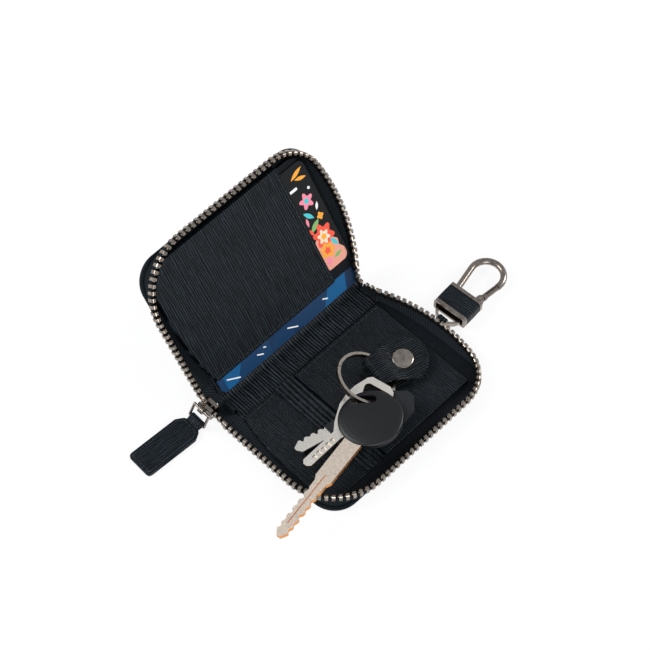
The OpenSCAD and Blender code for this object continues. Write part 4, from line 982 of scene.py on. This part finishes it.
# The leather band round the hook's sleeve, whose sides swell a little
SLEEVE_W, SLEEVE_H = 8.9, 3.4
BAND_LOW, BAND_TOP, BAND_T, BAND_EDGE, BAND_SWELL = -3.85, 5.65, 0.5, 0.25, 0.09
around_band = dense(rounded([(-SLEEVE_W, 3.5 - SLEEVE_H), (SLEEVE_W, 3.5 - SLEEVE_H),
                             (SLEEVE_W, 3.5 + SLEEVE_H), (-SLEEVE_W, 3.5 + SLEEVE_H)], 1.5, 6), 2.5)
side_low, side_top = BAND_LOW + BAND_EDGE, BAND_TOP - BAND_EDGE
rings = [(BAND_EDGE, BAND_LOW), (0.0, side_low)]
rings += [(-BAND_SWELL * math.sin(math.pi * f), side_low + f * (side_top - side_low))
          for f in (0.25, 0.5, 0.75)]
rings += [(0.0, side_top), (BAND_EDGE, BAND_TOP), (BAND_T, BAND_TOP), (BAND_T, BAND_LOW)]
points = [hook(p, y, q) for d, y in rings for p, q in inset_of(around_band, d)]
along = [sum(math.dist(around_band[k], around_band[k + 1]) for k in range(i))
         for i in range(len(around_band))]
band = made_piece("hook_sleeve_band", points, joined_rings(len(rings), len(around_band), cyclic=True),
                  [(run, y) for d, y in rings for run in along], [fine_hide])
fixed(band, "hook", "leather", "hook_leather")

# The pale table: it looks white to the camera and in reflections, and keeps a soft shadow
SPREAD, SHOWN_WHITE = 4.0, 0.86
WHITE = linear("#ffffff")
paper, tree, shader = finish_named("paper_backdrop_matt", Base_Color=linear("#f4f4f4"), Roughness=0.9)
rays = add(tree, "LightPath")
seen = add(tree, "Math", {0: rays.outputs["Is Camera Ray"], 1: rays.outputs["Is Glossy Ray"]},
           operation="MAXIMUM")
seen = add(tree, "Math", {0: seen.outputs[0], 1: rays.outputs["Is Transmission Ray"]}, operation="MAXIMUM")
share = add(tree, "Math", {0: seen.outputs[0], 1: SHOWN_WHITE}, operation="MULTIPLY")
glow = add(tree, "Emission", {"Color": WHITE, "Strength": 1.0})
mixed = add(tree, "MixShader", {0: share.outputs[0], 1: shader.outputs[0], 2: glow.outputs[0]})
tree.links.new(mixed.outputs[0], tree.nodes["Material Output"].inputs["Surface"])
floor_mesh = bpy.data.meshes.new("table_top")
floor_corners = [(-SPREAD, -SPREAD, 0), (SPREAD, -SPREAD, 0), (SPREAD, SPREAD, 0), (-SPREAD, SPREAD, 0)]
floor_mesh.from_pydata(floor_corners, [], [(0, 1, 2, 3)])
floor_mesh.materials.append(paper)
floor = bpy.data.objects.new("table_top", floor_mesh)
floor.location.z = min(cad_box[0][2], 0.0) - 0.0001
bpy.context.scene.collection.objects.link(floor)

# Soft studio light: a pale surround and three large lamps
world = bpy.data.worlds.new("studio")
bpy.context.scene.world = world
world.use_nodes = True
tree = world.node_tree
tree.nodes.clear()
rays = add(tree, "LightPath")
soft = add(tree, "Background", {"Color": linear("#eef1f6"), "Strength": 0.62})
bright = add(tree, "Background", {"Color": WHITE, "Strength": 1.0})
mixed = add(tree, "MixShader", {0: rays.outputs["Is Camera Ray"], 1: soft.outputs[0], 2: bright.outputs[0]})
add(tree, "OutputWorld", {0: mixed.outputs[0]})
AIM = Vector((-0.02, 0.0, 0.01))
for name, at, size, power in (("lamp_key", (-0.75, -0.55, 0.75), 0.5, 9.0),
                              ("lamp_fill", (0.8, -0.6, 0.5), 0.6, 6.0),
                              ("lamp_back", (0.45, 0.95, 0.55), 0.5, 7.0)):
    lamp = bpy.data.lights.new(name, "AREA")
    lamp.size = size
    lamp.energy = power
    holder = bpy.data.objects.new(name, lamp)
    holder.location = at
    holder.rotation_euler = (AIM - Vector(at)).to_track_quat("-Z", "Y").to_euler()
    bpy.context.scene.collection.objects.link(holder)

# The camera stands where the photograph was taken from
AZIMUTH, ELEVATION, DISTANCE, ROLL = 44.575, 59.249, 1.02267, 0.175
TARGET = Vector((-0.03487, 0, 0))
az, el = math.radians(AZIMUTH), math.radians(ELEVATION)
towards = Vector((math.sin(az) * math.cos(el), -math.cos(az) * math.cos(el), math.sin(el)))
lens = bpy.data.cameras.new("studio_camera")
lens.lens, lens.sensor_width = 125.07, 36.0
lens.shift_x, lens.shift_y = 0.0298, 0.0467
lens.clip_start, lens.clip_end = 0.05, 20.0
camera = bpy.data.objects.new("studio_camera", lens)
camera.location = TARGET + towards * DISTANCE
camera.rotation_euler = ((-towards).to_track_quat("-Z", "Y").to_matrix()
                         @ Matrix.Rotation(math.radians(ROLL), 3, "Z")).to_euler()
bpy.context.scene.collection.objects.link(camera)
bpy.context.scene.camera = camera
bpy.context.scene.view_settings.view_transform = "Standard"
